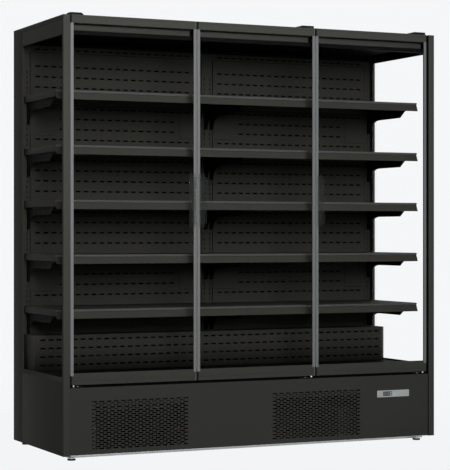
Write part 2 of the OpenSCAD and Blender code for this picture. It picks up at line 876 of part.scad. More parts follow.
// The display body passes through the plate and holds the keys
module controller_display() {
    color(near_black) difference() {
        union() {
            slab(display_x - display_w / 2, display_x + display_w / 2,
                plate_front - display_proud, front_recess + front_sheet + body_wall,
                plate_mid - display_h / 2, plate_mid + display_h / 2);
            slab(plate_x - body_w / 2, plate_x + body_w / 2, front_recess,
                front_recess + body_d, plate_mid - body_h / 2, plate_mid + body_h / 2);
        }
        slab(display_x - display_w / 2 + screen_rim, display_x - display_w / 2 + screen_rim + screen_w,
            plate_front - 2, plate_front - 0.2, plate_mid - display_h / 2 + screen_rim,
            plate_mid + display_h / 2 - screen_rim);
        for (i = [0, 1])
            slab(key_x - key_w / 2 - key_gap, key_x + key_w / 2 + key_gap,
                plate_front - 2, plate_front + key_depth,
                key_mid(i) - key_h / 2 - key_gap, key_mid(i) + key_h / 2 + key_gap);
    }
}

// A key stands a little in front of the display body and presses inwards
module key(i) {
    color("#9a9c9c")
        slab(key_x - key_w / 2, key_x + key_w / 2, plate_front - key_proud,
            plate_front + key_depth - key_travel - 0.3, key_mid(i) - key_h / 2, key_mid(i) + key_h / 2);
}

module key_up() key(0);
module key_down() key(1);

// Compressor: a domed can on a plate with four rubber feet
can_r = 80;
can_h = 120;
can_x = -180;
can_d = 330;
can_foot = 12;
can_plate_w = 210;
can_plate_d = 150;
can_plate_t = 4;

module compressor() {
    color(near_black) translate([can_x, y_front + can_d, foot_height + tray_t]) {
        for (sx = [-1, 1]) for (sy = [-1, 1])
            translate([sx * (can_plate_w / 2 - 18), sy * (can_plate_d / 2 - 18), 0])
                cylinder(r = 12, h = can_foot);
        translate([-can_plate_w / 2, -can_plate_d / 2, can_foot])
            cube([can_plate_w, can_plate_d, can_plate_t]);
        translate([0, 0, can_foot + can_plate_t]) cylinder(r = can_r, h = can_h);
        translate([0, 0, can_foot + can_plate_t + can_h]) intersection() {
            translate([0, 0, -can_r * 0.75]) sphere(r = can_r * 1.25);
            cylinder(r = can_r, h = can_r / 2);
        }
    }
}

// Condenser coil behind the left grille, with a fan shroud behind it
cond_x = grille_left_x + (grille_columns - 1) * grille_step / 2;
cond_w = 380;
cond_h = 190;
cond_front = 40;
cond_d = 50;
shroud_d = 46;
shroud_t = 2;
cond_mid = tray_t + cond_h / 2;
cond_hub_r = 26;
cond_fan_h = 32;
cond_motor_r = 32;
cond_motor_h = 50;

module condenser_coil() {
    fins = 24;
    step = (cond_w - 8) / fins;
    color(silver) difference() {
        slab(cond_x - cond_w / 2, cond_x + cond_w / 2, cond_front, cond_front + cond_d,
            tray_t, tray_t + cond_h);
        for (i = [0 : fins - 1])
            slab(cond_x - cond_w / 2 + 6 + i * step, cond_x - cond_w / 2 + 2 + (i + 1) * step,
                cond_front - 1, cond_front + 6, tray_t + 8, tray_t + cond_h - 8);
    }
}

module condenser_fan_shroud() {
    back = cond_front + cond_d + shroud_d;
    color(galvanised) {
        difference() {
            slab(cond_x - cond_w / 2, cond_x + cond_w / 2, cond_front + cond_d, back,
                tray_t, tray_t + cond_h);
            slab(cond_x - cond_w / 2 + shroud_t, cond_x + cond_w / 2 - shroud_t,
                cond_front + cond_d - 1, back - shroud_t, tray_t + shroud_t, tray_t + cond_h - shroud_t);
            translate([cond_x, y_front + back - shroud_t - 1, foot_height + cond_mid])
                rotate([-90, 0, 0]) cylinder(r = cond_fan_r + 4, h = shroud_t + 2);
        }
        translate([cond_x, y_front + back, foot_height + cond_mid]) rotate([-90, 0, 0]) {
            for (a = [45, 135])
                rotate([0, 0, a]) translate([-cond_fan_r - 14, -arm_w / 2, 0])
                    cube([2 * cond_fan_r + 28, arm_w, arm_t]);
            cylinder(r = cond_motor_r, h = cond_motor_h);
            translate([0, 0, -cond_fan_h - 6]) cylinder(r = shaft_r, h = cond_fan_h + 6);
        }
    }
}

module condenser_fan() {
    back = cond_front + cond_d + shroud_d;
    color("#3a3c3e")
        translate([cond_x, y_front + back - cond_fan_h - 4, foot_height + cond_mid])
            rotate([-90, 0, 0]) rotor(cond_fan_r, cond_hub_r, cond_fan_h, 5, 26);
}

// Electrical box with a gland for the supply
box_in = 137.5;
box_w = 260;
box_x1 = x_in - box_in;
box_x0 = box_x1 - box_w;
box_d0 = 240;
box_d1 = 420;
box_h = 130;
gland_r = 11;
gland_x = box_x0 + 60;
gland_h = 40;

module electrical_box() {
    color("#77787a") {
        slab(box_x0, box_x1, box_d0, box_d1, tray_t, tray_t + box_h);
        translate([gland_x, y_front + box_d1, foot_height + tray_t + gland_h])
            rotate([-90, 0, 0]) cylinder(r = gland_r, h = 22);
    }
}

// Drip tray that evaporates the defrost water
drip_gap = 80;
drip_w = 400;
drip_x1 = box_x0 - drip_gap;
drip_x0 = drip_x1 - drip_w;
drip_d0 = 120;
drip_d1 = 480;
drip_h = 42;

module drip_tray() {
    color(near_black) difference() {
        slab(drip_x0, drip_x1, drip_d0, drip_d1, tray_t, tray_t + drip_h);
        slab(drip_x0 + 3, drip_x1 - 3, drip_d0 + 3, drip_d1 - 3, tray_t + 3, tray_t + drip_h + 1);
    }
}

// Pipes from the compressor to the condenser and up to the evaporator
module pipe_run(points) {
    for (i = [0 : len(points) - 2]) {
        a = points[i];
        b = points[i + 1];
        v = b - a;
        len_ab = norm(v);
        translate(a)
            rotate([0, acos(v[2] / len_ab), atan2(v[1], v[0])]) cylinder(r = pipe_r, h = len_ab);
        if (i > 0) translate(a) sphere(r = pipe_r);
    }
}

module refrigerant_pipes() {
    can_y = y_front + can_d;
    cond_y = y_front + cond_front + cond_d / 2;
    turn_x = can_x - can_r - 40;
    rise_y = y_front + pipe_d;
    rise_top = foot_height + floor_top + 30;
    coil_y = y_front + coil_front + coil_d;
    side_h = foot_height + 95;
    color(copper) {
        pipe_run([
            [can_x - can_r, can_y, side_h], [turn_x, can_y, side_h],
            [turn_x, cond_y, side_h], [cond_x + cond_w / 2, cond_y, side_h]
        ]);
        for (s = [-1, 1]) {
            x = pipe_x + s * pipe_apart;
            h = side_h - (s + 1) * pipe_r * 2.5;
            pipe_run([
                [can_x + can_r, can_y, h], [x, can_y, h], [x, rise_y, h],
                [x, rise_y, rise_top], [x, coil_y, rise_top]
            ]);
        }
    }
}

// Hinge brackets: a capped plate over each door and a plate on the sill below it
hinge_gap = 1;
hinge_plate_t = 3;
cap_over = 6;
cap_slope = 10;
cap_edge = 2;
hinge_outer = 12;
hinge_post_side = 10;
hinge_left_in = 45;
hinge_right_in = 63;
hinge_rear = frame_d + canopy_d;
function hinge_x0(i) = pivot_x(i) - (hinge_left[i] ? hinge_outer : hinge_right_in);
function hinge_x1(i) = pivot_x(i) + (hinge_left[i] ? hinge_left_in : hinge_post_side);
function cap_left(i) = hinge_left[i] ? cap_edge : cap_slope;
function cap_right(i) = hinge_left[i] ? cap_slope : cap_edge;
function screw_x(i) = pivot_x(i) + (hinge_left[i] ? 20 : -32);

module hinge_brackets() {
    low_h = panel_top_h + ledge_t;
    top_h = door_top + hinge_gap;
    color(near_black) for (i = [0 : 2]) {
        x0 = hinge_x0(i);
        x1 = hinge_x1(i);
        difference() {
            union() {
                translate([0, y_front + hinge_rear, foot_height + top_h])
                    rotate([90, 0, 0]) linear_extrude(hinge_rear - door_recess) polygon([
                        [x0, 0], [x1, 0], [x1, hinge_plate_t],
                        [x1 - cap_right(i), hinge_plate_t + cap_over],
                        [x0 + cap_left(i), hinge_plate_t + cap_over], [x0, hinge_plate_t]
                    ]);
                slab(x0, x1, frame_d + 2, hinge_rear, wall_height, top_h + 1);
                slab(x0, x1, door_recess, frame_d, low_h, low_h + hinge_plate_t);
            }
            translate([pivot_x(i), y_front + pivot_d, foot_height + low_h - 1])
                cylinder(r = pin_r, h = hinge_plate_t + 2);
            translate([pivot_x(i), y_front + pivot_d, foot_height + top_h - 1])
                cylinder(r = pin_r, h = hinge_plate_t + 1);
        }
    }
}

// Hinge pins: one into the bottom and one into the top of each door, and a fixing screw
screw_r = 4;
screw_h = 2;

module hinge_pins() {
    low_h = panel_top_h + ledge_t;
    color("#c9cccc") for (i = [0 : 2]) {
        translate([pivot_x(i), y_front + pivot_d, foot_height + low_h])
            cylinder(r = pin_r, h = door_bottom + pin_in - low_h);
        translate([pivot_x(i), y_front + pivot_d, foot_height + door_top - pin_in])
            cylinder(r = pin_r, h = pin_in + hinge_gap + hinge_plate_t);
        translate([screw_x(i), y_front + pivot_d, foot_height + low_h + hinge_plate_t])
            cylinder(r = screw_r, h = screw_h);
    }
}

// Door rails with a shadow line each, and a bore at each end of the hinge side
line_w = 2;
line_depth = 1.2;
top_line = 12;
bottom_line = 15;

module door_rails(i) {
    x0 = door_x0(i);
    x1 = door_x1(i);
    color(charcoal) difference() {
        union() {
            slab(x0, x1, door_recess, door_back, door_bottom, pane_low);
            slab(x0, x1, door_recess, door_back, pane_high, door_top);
        }
        for (h = [door_bottom + bottom_line, door_top - top_line])
            slab(x0 - 1, x1 + 1, door_recess - 1, door_recess + line_depth, h, h + line_w);
        for (h = [door_bottom - 1, door_top - pin_in - 1])
            translate([pivot_x(i), y_front + pivot_d, foot_height + h])
                cylinder(r = pin_r + pin_clear, h = pin_in + 2);
    }
}

// Metal edge along each side of the glass, wrapped round both panes
spacer_w = 6;

module edge_profile() {
    difference() {
        square([edge_w, door_t]);
        translate([edge_wall, edge_wall]) square([edge_w, pane_t]);
        translate([edge_wall, door_t - edge_wall - pane_t]) square([edge_w, pane_t]);
        translate([edge_wall + spacer_w, edge_wall]) square([edge_w, door_t - 2 * edge_wall]);
    }
}

module door_edges(i) {
    color(light_edge) {
        translate([door_x0(i), y_front + door_recess, foot_height + pane_low])
            linear_extrude(pane_high - pane_low) edge_profile();
        translate([door_x1(i), y_front + door_recess, foot_height + pane_low])
            linear_extrude(pane_high - pane_low) mirror([1, 0]) edge_profile();
    }
}

module door_glass(i) {
    color(clear_glass, 0.25)
        for (d = [door_recess + edge_wall, door_back - edge_wall - pane_t])
            slab(door_x0(i) + edge_wall, door_x1(i) - edge_wall, d, d + pane_t, pane_low, pane_high);
}

// Seals behind the rails, kept clear of the hinge edge
seal_h = 14;

module door_seals(i) {
    x0 = hinge_left[i] ? pivot_x(i) + 2 : door_x0(i) + 4;
    x1 = hinge_left[i] ? door_x1(i) - 4 : pivot_x(i) - 2;
    color(near_black)
        for (h = [door_bottom + 4, pane_high + 10])
            slab(x0, x1, door_back, door_back + seal_d, h, h + seal_h);
}

// Handle: a channel with one side open, and sloped ends
module handle_section() {
    polygon([
        [0, 0], [handle_w, 0], [handle_w, -handle_wall + 1], [handle_wall, -handle_wall + 1],
        [handle_wall, -handle_reach + handle_wall], [handle_w, -handle_reach + handle_wall],
        [handle_w, -handle_reach], [handle_wall, -handle_reach], [0, -handle_reach + handle_wall]
    ]);
}

module door_handle(i) {
    side = hinge_left[i] ? 1 : 0;
    x = hinge_left[i] ? door_x1(i) - handle_in : door_x0(i) + handle_in;
    color(smoke, 0.6)
        translate([x, y_front + door_recess, foot_height + handle_mid - handle_h / 2])
            mirror([side, 0, 0]) intersection() {
                linear_extrude(handle_h) handle_section();
                rotate([90, 0, 90]) linear_extrude(handle_w) polygon([
                    [0, 0], [0, handle_h], [-handle_reach, handle_h - handle_slope],
                    [-handle_reach, handle_slope]
                ]);
            }
}

module left_door_rails() door_rails(0);
module left_door_edges() door_edges(0);
module left_door_glass() door_glass(0);
module left_door_seals() door_seals(0);
module left_door_handle() door_handle(0);
module middle_door_rails() door_rails(1);
module middle_door_edges() door_edges(1);
module middle_door_glass() door_glass(1);
module middle_door_seals() door_seals(1);
module middle_door_handle() door_handle(1);
module right_door_rails() door_rails(2);
module right_door_edges() door_edges(2);
module right_door_glass() door_glass(2);
module right_door_seals() door_seals(2);
module right_door_handle() door_handle(2);

base_frame();
levelling_feet();
end_frame_left();
end_frame_right();
end_glasses();
side_panels();
rear_wall();
lower_rear_panel();
roof_panel();
canopy_liner();
canopy_front();
light_covers();
led_tubes();
air_honeycomb();
shelf_uprights();
back_panels_left();
back_panels_right();
riser_cover();
fan_plate();
evaporator_coil();
insulated_floor();
door_sill();
deck_trays();
shelves_left();
shelves_right();
shelf_brackets();
ticket_rails();
lower_front_panel();
controller_plate();
controller_display();
key_up();
key_down();
compressor();
condenser_coil();
condenser_fan_shroud();
condenser_fan();
drip_tray();
electrical_box();
refrigerant_pipes();
evaporator_fan_motors();
evaporator_fan_left();
evaporator_fan_middle();
evaporator_fan_right();
hinge_brackets();
hinge_pins();
left_door_rails();
left_door_edges();
left_door_glass();
left_door_seals();
left_door_handle();
middle_door_rails();
middle_door_edges();
middle_door_glass();
middle_door_seals();
middle_door_handle();
right_door_rails();
right_door_edges();
right_door_glass();
right_door_seals();
right_door_handle();
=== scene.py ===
# %% [markdown]
# # A glass door display chiller
# This is an upright refrigerated cabinet: three glass doors, two bays of dark shelves,
# glazed end walls and a machine space behind a slotted panel. Its solids already exist as a
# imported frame, so this lesson dresses them: it rounds edges, builds the small parts that a
# plain solid leaves out, and gives each surface a finish. Starting from the frame keeps
# every piece in its true place, and a moving piece stays on the body that carries it.

# %% Load the frame
import json
import math
import bmesh
import bpy
from mathutils import Matrix, Vector


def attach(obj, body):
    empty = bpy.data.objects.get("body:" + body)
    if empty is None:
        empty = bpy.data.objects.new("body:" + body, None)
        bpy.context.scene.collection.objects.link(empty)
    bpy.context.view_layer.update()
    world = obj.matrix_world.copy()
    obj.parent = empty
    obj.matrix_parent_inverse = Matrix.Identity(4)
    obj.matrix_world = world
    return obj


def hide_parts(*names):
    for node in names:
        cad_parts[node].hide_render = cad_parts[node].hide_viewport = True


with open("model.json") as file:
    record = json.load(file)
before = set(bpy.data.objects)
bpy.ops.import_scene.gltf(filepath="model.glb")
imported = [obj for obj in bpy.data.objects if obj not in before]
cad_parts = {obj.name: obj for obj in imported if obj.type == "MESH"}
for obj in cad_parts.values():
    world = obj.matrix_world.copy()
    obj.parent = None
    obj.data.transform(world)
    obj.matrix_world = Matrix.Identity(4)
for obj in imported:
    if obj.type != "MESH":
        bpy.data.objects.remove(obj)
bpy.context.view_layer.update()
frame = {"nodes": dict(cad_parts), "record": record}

solids = frame["nodes"]
slot_of = {part["node"]: part["material_slot"] for part in frame["record"]["subparts"]}
print("solids in the frame:", len(solids))

# %% [markdown]
# The cabinet's drawings give places as three numbers: x across, the depth behind the front of
# the end walls, and the height above their base. One could type Blender's metres by hand, but
# a small function that turns a drawing's place into metres keeps the numbers recognisable.

# %% Places in the cabinet
MM = 0.001
FRONT = -0.3465
BASE = 0.020


def at(x, depth, height):
    """The place in metres of a point given in the drawing's millimetres."""
    return Vector((x * MM, FRONT + depth * MM, BASE + height * MM))


PIVOTS = {"left": -913.5, "middle": 292.5, "right": 913.5}
DOORS = {"left": (-929.5, -312.5), "middle": (-308.5, 308.5), "right": (312.5, 929.5)}
print("front left foot of the cabinet:", tuple(round(v, 3) for v in at(-967.5, 0, 0)))

# %% [markdown]
# The camera looks at the cabinet from the front left, a little above half its height. The
# upright edges stay parallel when the camera is level, so the small offset that centres the
# cabinet is made with the lens shift and not by tilting. A long lens from eight metres away
# gives the gentle perspective of a catalogue picture.

# %% Camera
EYE = (-3.5335, -7.5217, 1.0149)
TURN = -25.1
lens = bpy.data.cameras.new("camera")
lens.sensor_width = 36
lens.lens = 130.4
lens.shift_y = -0.00245
camera = bpy.data.objects.new("camera", lens)
camera.location = EYE
camera.rotation_euler = (math.radians(90), 0, math.radians(TURN))
bpy.context.scene.collection.objects.link(camera)
bpy.context.scene.camera = camera
bpy.context.scene.view_settings.view_transform = "Standard"
print("camera at", EYE)

# %% [markdown]
# A dark matt object needs a broad, soft lamp high at the front, so that each ledge and shelf
# draws a gentle shadow below itself. A grid before the lamp narrows its beam, and because it
# aims at the top of the doors, the light thins out downwards. A second lamp lights the back for
# whoever walks round the cabinet, and neither camera nor glass shows it. The sky is a plain
# grey for the light that it gives, and nearly white for what the camera, glass and gloss see of
# it. Light Path tells these apart, so the white background adds no light of its own. A ray that
# crosses two doors and an end wall meets more panes than the usual limit of eight faces, past
# which it turns black, so that limit is raised.

# %% Lamps and world
PALE = (0.915, 0.925, 0.935, 1)
SKY_GREY = (0.06, 0.061, 0.063, 1)
PANE_FACES = 32


def lamp(name, place, target, size, power, spread):
    """A round soft lamp that faces a target; its spread in degrees is that of a grid before it."""
    data = bpy.data.lights.new(name, "AREA")
    data.shape = "DISK"
    data.size = size
    data.energy = power
    data.spread = math.radians(spread)
    made = bpy.data.objects.new(name, data)
    made.location = place
    turn = (Vector(target) - Vector(place)).to_track_quat("-Z", "Y")
    made.rotation_euler = turn.to_euler()
    bpy.context.scene.collection.objects.link(made)
    return made


lamp("key", place=(-2.0, -8.0, 3.1), target=(-0.5, -0.35, 2.1), size=3.4, power=69, spread=58)
rear = lamp("rear", place=(2.2, 8.0, 3.1), target=(0.3, 0.36, 1.5), size=3.4, power=60,
            spread=50)
rear.visible_camera = rear.visible_glossy = rear.visible_transmission = False
bpy.context.scene.cycles.transparent_max_bounces = PANE_FACES

world = bpy.data.worlds.new("studio")
bpy.context.scene.world = world
world.use_nodes = True


def node(tree, kind, **values):
    """A new node, with its own settings given by name."""
    made = tree.nodes.new(kind)
    for label, value in values.items():
        setattr(made, label, value)
    return made


def put(target, **values):
    """Sets input sockets by name; an underscore in the name stands for a space."""
    for label, value in values.items():
        target.inputs[label.replace("_", " ")].default_value = value
    return target


def wire(tree, source, target):
    """Links an output socket to an input socket."""
    tree.links.new(source, target)


def seen_ray(tree):
    """1 for rays of the camera, of gloss and of glass, and 0 for light that falls on things."""
    path = node(tree, "ShaderNodeLightPath")
    first = node(tree, "ShaderNodeMath", operation="MAXIMUM")
    second = node(tree, "ShaderNodeMath", operation="MAXIMUM")
    wire(tree, path.outputs["Is Camera Ray"], first.inputs[0])
    wire(tree, path.outputs["Is Glossy Ray"], first.inputs[1])
    wire(tree, first.outputs[0], second.inputs[0])
    wire(tree, path.outputs["Is Transmission Ray"], second.inputs[1])
    return second.outputs[0]


tree = world.node_tree
sky = tree.nodes["Background"]
put(sky, Color=SKY_GREY, Strength=1)
backdrop = put(node(tree, "ShaderNodeBackground"), Color=PALE, Strength=1)
blend = node(tree, "ShaderNodeMixShader")
wire(tree, seen_ray(tree), blend.inputs[0])
wire(tree, sky.outputs[0], blend.inputs[1])
wire(tree, backdrop.outputs[0], blend.inputs[2])
wire(tree, blend.outputs[0], tree.nodes["World Output"].inputs["Surface"])
print("lamps and world ready")

# %% [markdown]
# The floor is one pale sheet. A real studio floor would show a grey shade that ends at a
# horizon, so the camera mostly sees the background's white here, with a share of the lit
# floor mixed in near the cabinet. That share carries the cabinet's soft shadow.

# %% Floor
FLOOR_HALF = 40
FLOOR_WHITE = (0.95, 0.955, 0.96, 1)
bm = bmesh.new()
bmesh.ops.create_grid(bm, x_segments=1, y_segments=1, size=FLOOR_HALF)
floor_mesh = bpy.data.meshes.new("floor")
bm.to_mesh(floor_mesh)
bm.free()
floor = bpy.data.objects.new("floor", floor_mesh)
bpy.context.scene.collection.objects.link(floor)

floor_look = bpy.data.materials.new("floor")
floor_look.use_nodes = True
tree = floor_look.node_tree
lit = put(tree.nodes["Principled BSDF"], Base_Color=FLOOR_WHITE, Roughness=0.8)
plain = put(node(tree, "ShaderNodeEmission"), Color=PALE, Strength=1)
place = node(tree, "ShaderNodeTexCoord")
spread = node(tree, "ShaderNodeMapping")
put(spread, Scale=(0.3, 0.3, 0.3))
ball = node(tree, "ShaderNodeTexGradient", gradient_type="SPHERICAL")
near = put(node(tree, "ShaderNodeMapRange"), From_Min=0, From_Max=0.6, To_Min=1, To_Max=0.97)
share = node(tree, "ShaderNodeMath", operation="MULTIPLY")
blend = node(tree, "ShaderNodeMixShader")
wire(tree, place.outputs["Object"], spread.inputs["Vector"])
wire(tree, spread.outputs[0], ball.inputs[0])
wire(tree, ball.outputs["Fac"], near.inputs["Value"])
wire(tree, near.outputs[0], share.inputs[0])
wire(tree, seen_ray(tree), share.inputs[1])
wire(tree, share.outputs[0], blend.inputs[0])
wire(tree, lit.outputs[0], blend.inputs[1])
wire(tree, plain.outputs[0], blend.inputs[2])
wire(tree, blend.outputs[0], tree.nodes["Material Output"].inputs["Surface"])
floor_mesh.materials.append(floor_look)
print("floor:", len(floor_mesh.polygons), "face")

# %% [markdown]
# Most of the cabinet is powder coated sheet. Seen close, such a coat has a fine pebbled grain,
# a tone that drifts a little from place to place, and gloss that varies with handling. These
# three effects go in one shader group, so every tint of the coat shares them. The group puts
# out a colour, a roughness and a height, and the shader itself stays in each material.

# %% Shared group for coats and mouldings
def group(name, inputs, outputs):
    """A shader group with named sockets, and its two end nodes."""
    made = bpy.data.node_groups.new(name, "ShaderNodeTree")
    for label, value in inputs.items():
        kind = "NodeSocketColor" if isinstance(value, tuple) and len(value) == 4 else (
            "NodeSocketVector" if isinstance(value, tuple) else "NodeSocketFloat")
        socket = made.interface.new_socket(label, in_out="INPUT", socket_type=kind)
        socket.default_value = value
    for label, kind in outputs.items():
        made.interface.new_socket(label, in_out="OUTPUT", socket_type=kind)
    return made, node(made, "NodeGroupInput"), node(made, "NodeGroupOutput")


def noise(tree, coordinates, scale, detail=2.0):
    """A noise pattern; its scale is a number or a socket."""
    made = put(node(tree, "ShaderNodeTexNoise"), Detail=detail)
    wire(tree, coordinates, made.inputs["Vector"])
    if isinstance(scale, (int, float)):
        made.inputs["Scale"].default_value = scale
    else:
        wire(tree, scale, made.inputs["Scale"])
    return made.outputs["Fac"]


def maths(tree, operation, first, second, third=None):
    """A maths node over numbers or sockets."""
    made = node(tree, "ShaderNodeMath", operation=operation)
    for socket, value in zip(made.inputs, (first, second, third)):
        if isinstance(value, (int, float)):
            socket.default_value = value
        elif value is not None:
            wire(tree, value, socket)
    return made.outputs[0]


def tinted(tree, colour, tone):
    """A colour made lighter or darker by a tone around 1."""
    made = node(tree, "ShaderNodeMix", data_type="RGBA", blend_type="MULTIPLY")
    made.inputs["Factor"].default_value = 1
    wire(tree, colour, made.inputs["A"])
    wire(tree, tone, made.inputs["B"])
    return made.outputs["Result"]


FINISH_OUT = {"Color": "NodeSocketColor", "Roughness": "NodeSocketFloat",
              "Height": "NodeSocketFloat"}
coat, ins, outs = group("coat", {"Color": (0.03, 0.03, 0.03, 1), "Drift": 0.3, "Grain": 900.0,
                                 "Roughness": 0.5, "Handling": 0.1}, FINISH_OUT)
spot = node(coat, "ShaderNodeTexCoord").outputs["Object"]
broad = noise(coat, spot, 1.9, 3)
marks = noise(coat, spot, 21, 6)
pebble = noise(coat, spot, ins.outputs["Grain"], 2)
drift = maths(coat, "MULTIPLY_ADD", maths(coat, "SUBTRACT", broad, 0.5), ins.outputs["Drift"], 1)
speck = maths(coat, "MULTIPLY_ADD", maths(coat, "SUBTRACT", pebble, 0.5), 0.35, drift)
wire(coat, tinted(coat, ins.outputs["Color"], speck), outs.inputs["Color"])
rub = maths(coat, "SUBTRACT", marks, 0.5)
wire(coat, maths(coat, "MULTIPLY_ADD", rub, ins.outputs["Handling"], ins.outputs["Roughness"]),
     outs.inputs["Roughness"])
wire(coat, pebble, outs.inputs["Height"])
print("coat group:", len(coat.nodes), "nodes")

# %% [markdown]
# Drawn and rolled metal shows fine streaks along one direction. A noise squeezed across the
# streaks and stretched along them gives the same look from any distance, and a vector input
# lets each strip choose its own direction. Zinc that froze on steel shows flat crystals
# instead, which Voronoi cells draw well.

# %% Shared groups for bare metal
brushed, ins, outs = group("brushed", {"Color": (0.5, 0.5, 0.5, 1), "Streak": 0.3,
                                       "Stretch": (900.0, 900.0, 9.0), "Roughness": 0.35},
                           FINISH_OUT)
spot = node(brushed, "ShaderNodeTexCoord").outputs["Object"]
squeeze = node(brushed, "ShaderNodeMapping")
wire(brushed, spot, squeeze.inputs["Vector"])
wire(brushed, ins.outputs["Stretch"], squeeze.inputs["Scale"])
streak = noise(brushed, squeeze.outputs[0], 1, 3)
cloud = noise(brushed, spot, 3.1, 3)
lift = maths(brushed, "SUBTRACT", streak, 0.5)
tone = maths(brushed, "MULTIPLY_ADD", lift, ins.outputs["Streak"], 1)
tone = maths(brushed, "MULTIPLY_ADD", maths(brushed, "SUBTRACT", cloud, 0.5), 0.12, tone)
wire(brushed, tinted(brushed, ins.outputs["Color"], tone), outs.inputs["Color"])
wire(brushed, maths(brushed, "MULTIPLY_ADD", lift, 0.2, ins.outputs["Roughness"]),
     outs.inputs["Roughness"])
wire(brushed, streak, outs.inputs["Height"])

spangle, ins, outs = group("spangle", {"Color": (0.45, 0.46, 0.47, 1), "Size": 70.0,
                                       "Roughness": 0.45}, FINISH_OUT)
spot = node(spangle, "ShaderNodeTexCoord").outputs["Object"]
cells = node(spangle, "ShaderNodeTexVoronoi")
wire(spangle, spot, cells.inputs["Vector"])
wire(spangle, ins.outputs["Size"], cells.inputs["Scale"])
grey = node(spangle, "ShaderNodeRGBToBW")
wire(spangle, cells.outputs["Color"], grey.inputs[0])
tone = maths(spangle, "MULTIPLY_ADD", grey.outputs[0], 0.35, 0.82)
wire(spangle, tinted(spangle, ins.outputs["Color"], tone), outs.inputs["Color"])
wire(spangle, maths(spangle, "MULTIPLY_ADD", grey.outputs[0], 0.18, ins.outputs["Roughness"]),
     outs.inputs["Roughness"])
wire(spangle, noise(spangle, spot, 400, 2), outs.inputs["Height"])
print("metal groups:", len(brushed.nodes), "and", len(spangle.nodes), "nodes")

# %% [markdown]
# A finish is a material built on one of these groups. What stays the same all over a surface,
# such as being metal or the strength of its gloss, is set on the shader's own sockets. The
# group's height drives a bump of a few hundredths of a millimetre, so the grain catches light
# without bending the outline.

# %% Finishes from the groups
def finish(name, base, settings, bump=0.1, depth=0.0002, **own):
    """A material: a shared group's colour, roughness and height into one shader."""
    made = bpy.data.materials.new(name)
    made.use_nodes = True
    tree = made.node_tree
    shader = put(tree.nodes["Principled BSDF"], **own)
    source = node(tree, "ShaderNodeGroup", node_tree=base)
    put(source, **settings)
    rough = node(tree, "ShaderNodeBump")
    put(rough, Strength=bump, Distance=depth)
    wire(tree, source.outputs["Color"], shader.inputs["Base Color"])
    wire(tree, source.outputs["Roughness"], shader.inputs["Roughness"])
    wire(tree, source.outputs["Height"], rough.inputs["Height"])
    wire(tree, rough.outputs[0], shader.inputs["Normal"])
    return made


def coated(name, colour, roughness=0.6, drift=0.25, grain=900.0, gloss=0.02, bump=0.25, **own):
    """A powder coat or a moulded plastic of one tint."""
    return finish(name, coat, {"Color": (*colour, 1), "Drift": drift, "Grain": grain,
                               "Roughness": roughness}, bump=bump,
                  Specular_IOR_Level=gloss, **own)


looks = {
    "painted_frame": coated("painted_frame", (0.062, 0.062, 0.056), 0.6, 0.2),
    "painted_side": coated("painted_side", (0.034, 0.0335, 0.029), 0.65, 0.25),
    "painted_inner": coated("painted_inner", (0.046, 0.045, 0.039), 0.6, 0.25),
    "back_coat": coated("back_coat", (0.036, 0.0356, 0.0315), 0.6, 0.25),
    "panel_coat": coated("panel_coat", (0.041, 0.041, 0.0375), 0.6, 0.3),
    "riser_coat": coated("riser_coat", (0.05, 0.0495, 0.044), 0.6, 0.25),
    # Painted highlight on the right hand caps of the door rails.
    "painted_cap_highlight": coated("painted_cap_highlight", (0.09, 0.092, 0.09), 0.5, 0.15, gloss=0.05),
    # Painted highlight on the bead of the ticket rails.
    "painted_bead_highlight": coated("painted_bead_highlight", (0.09, 0.092, 0.092), 0.5, 0.15),
    # Painted shadow of the bead, in the groove of the ticket rails.
    "painted_groove_shadow": coated("painted_groove_shadow", (0.022, 0.022, 0.02), 0.6, 0.2),
    "black_sheet": coated("black_sheet", (0.006, 0.006, 0.006), 0.65, 0.2),
    "black_plastic": coated("black_plastic", (0.010, 0.010, 0.010), 0.55, 0.2, 500.0, gloss=0.06),
    "foot_plastic": coated("foot_plastic", (0.012, 0.012, 0.012), 0.55, 0.3, 600.0, gloss=0.2),
    "fan_plastic": coated("fan_plastic", (0.035, 0.037, 0.04), 0.45, 0.25, 700.0, gloss=0.3),
    "light_cover": coated("light_cover", (0.052, 0.0515, 0.047), 0.6, 0.15, 1200.0),
    "box_grey": coated("box_grey", (0.03, 0.031, 0.032), 0.5, 0.2, 800.0, gloss=0.2),
    "key_grey": coated("key_grey", (0.33, 0.335, 0.335), 0.5, 0.15, 1500.0, gloss=0.4),
    "display_black": coated("display_black", (0.02, 0.02, 0.02), 0.2, 0.1, 1500.0, gloss=0.5,
                            bump=0.05),
    "seal_rubber": coated("seal_rubber", (0.010, 0.010, 0.010), 0.7, 0.3, 300.0, gloss=0.2),
    "led_lens": coated("led_lens", (0.72, 0.74, 0.72), 0.4, 0.06, 900.0, gloss=0.4),
    "edge_metal": finish("edge_metal", brushed, {"Color": (0.131, 0.135, 0.135, 1),
                         "Streak": 0.25, "Roughness": 0.5}, bump=0.1, Metallic=0.25),
    # The edge metal painted about four times lighter: painted light on the walls in the gaps.
    "edge_wall": finish("edge_wall", brushed, {"Color": (0.5, 0.51, 0.51, 1), "Streak": 0.25,
                        "Roughness": 0.5}, bump=0.1, Metallic=0.25),
    "coil_aluminium": finish("coil_aluminium", brushed, {"Color": (0.55, 0.56, 0.57, 1),
                             "Stretch": (60.0, 60.0, 700.0)}, Metallic=1.0),
    "plate_silver": finish("plate_silver", brushed, {"Color": (0.32, 0.33, 0.33, 1),
                           "Streak": 0.35, "Stretch": (12.0, 1500.0, 1500.0)}, Metallic=0.9),
    "pipe_copper": finish("pipe_copper", brushed, {"Color": (0.3, 0.13, 0.08, 1),
                          "Streak": 0.5, "Stretch": (25.0, 25.0, 25.0)}, Metallic=1.0),
    "zinc_steel": finish("zinc_steel", spangle, {"Color": (0.62, 0.63, 0.64, 1), "Size": 900.0,
                         "Roughness": 0.3}, Metallic=1.0),
    "galvanised_steel": finish("galvanised_steel", spangle, {}, Metallic=0.9),
}
print("finishes:", len(looks))

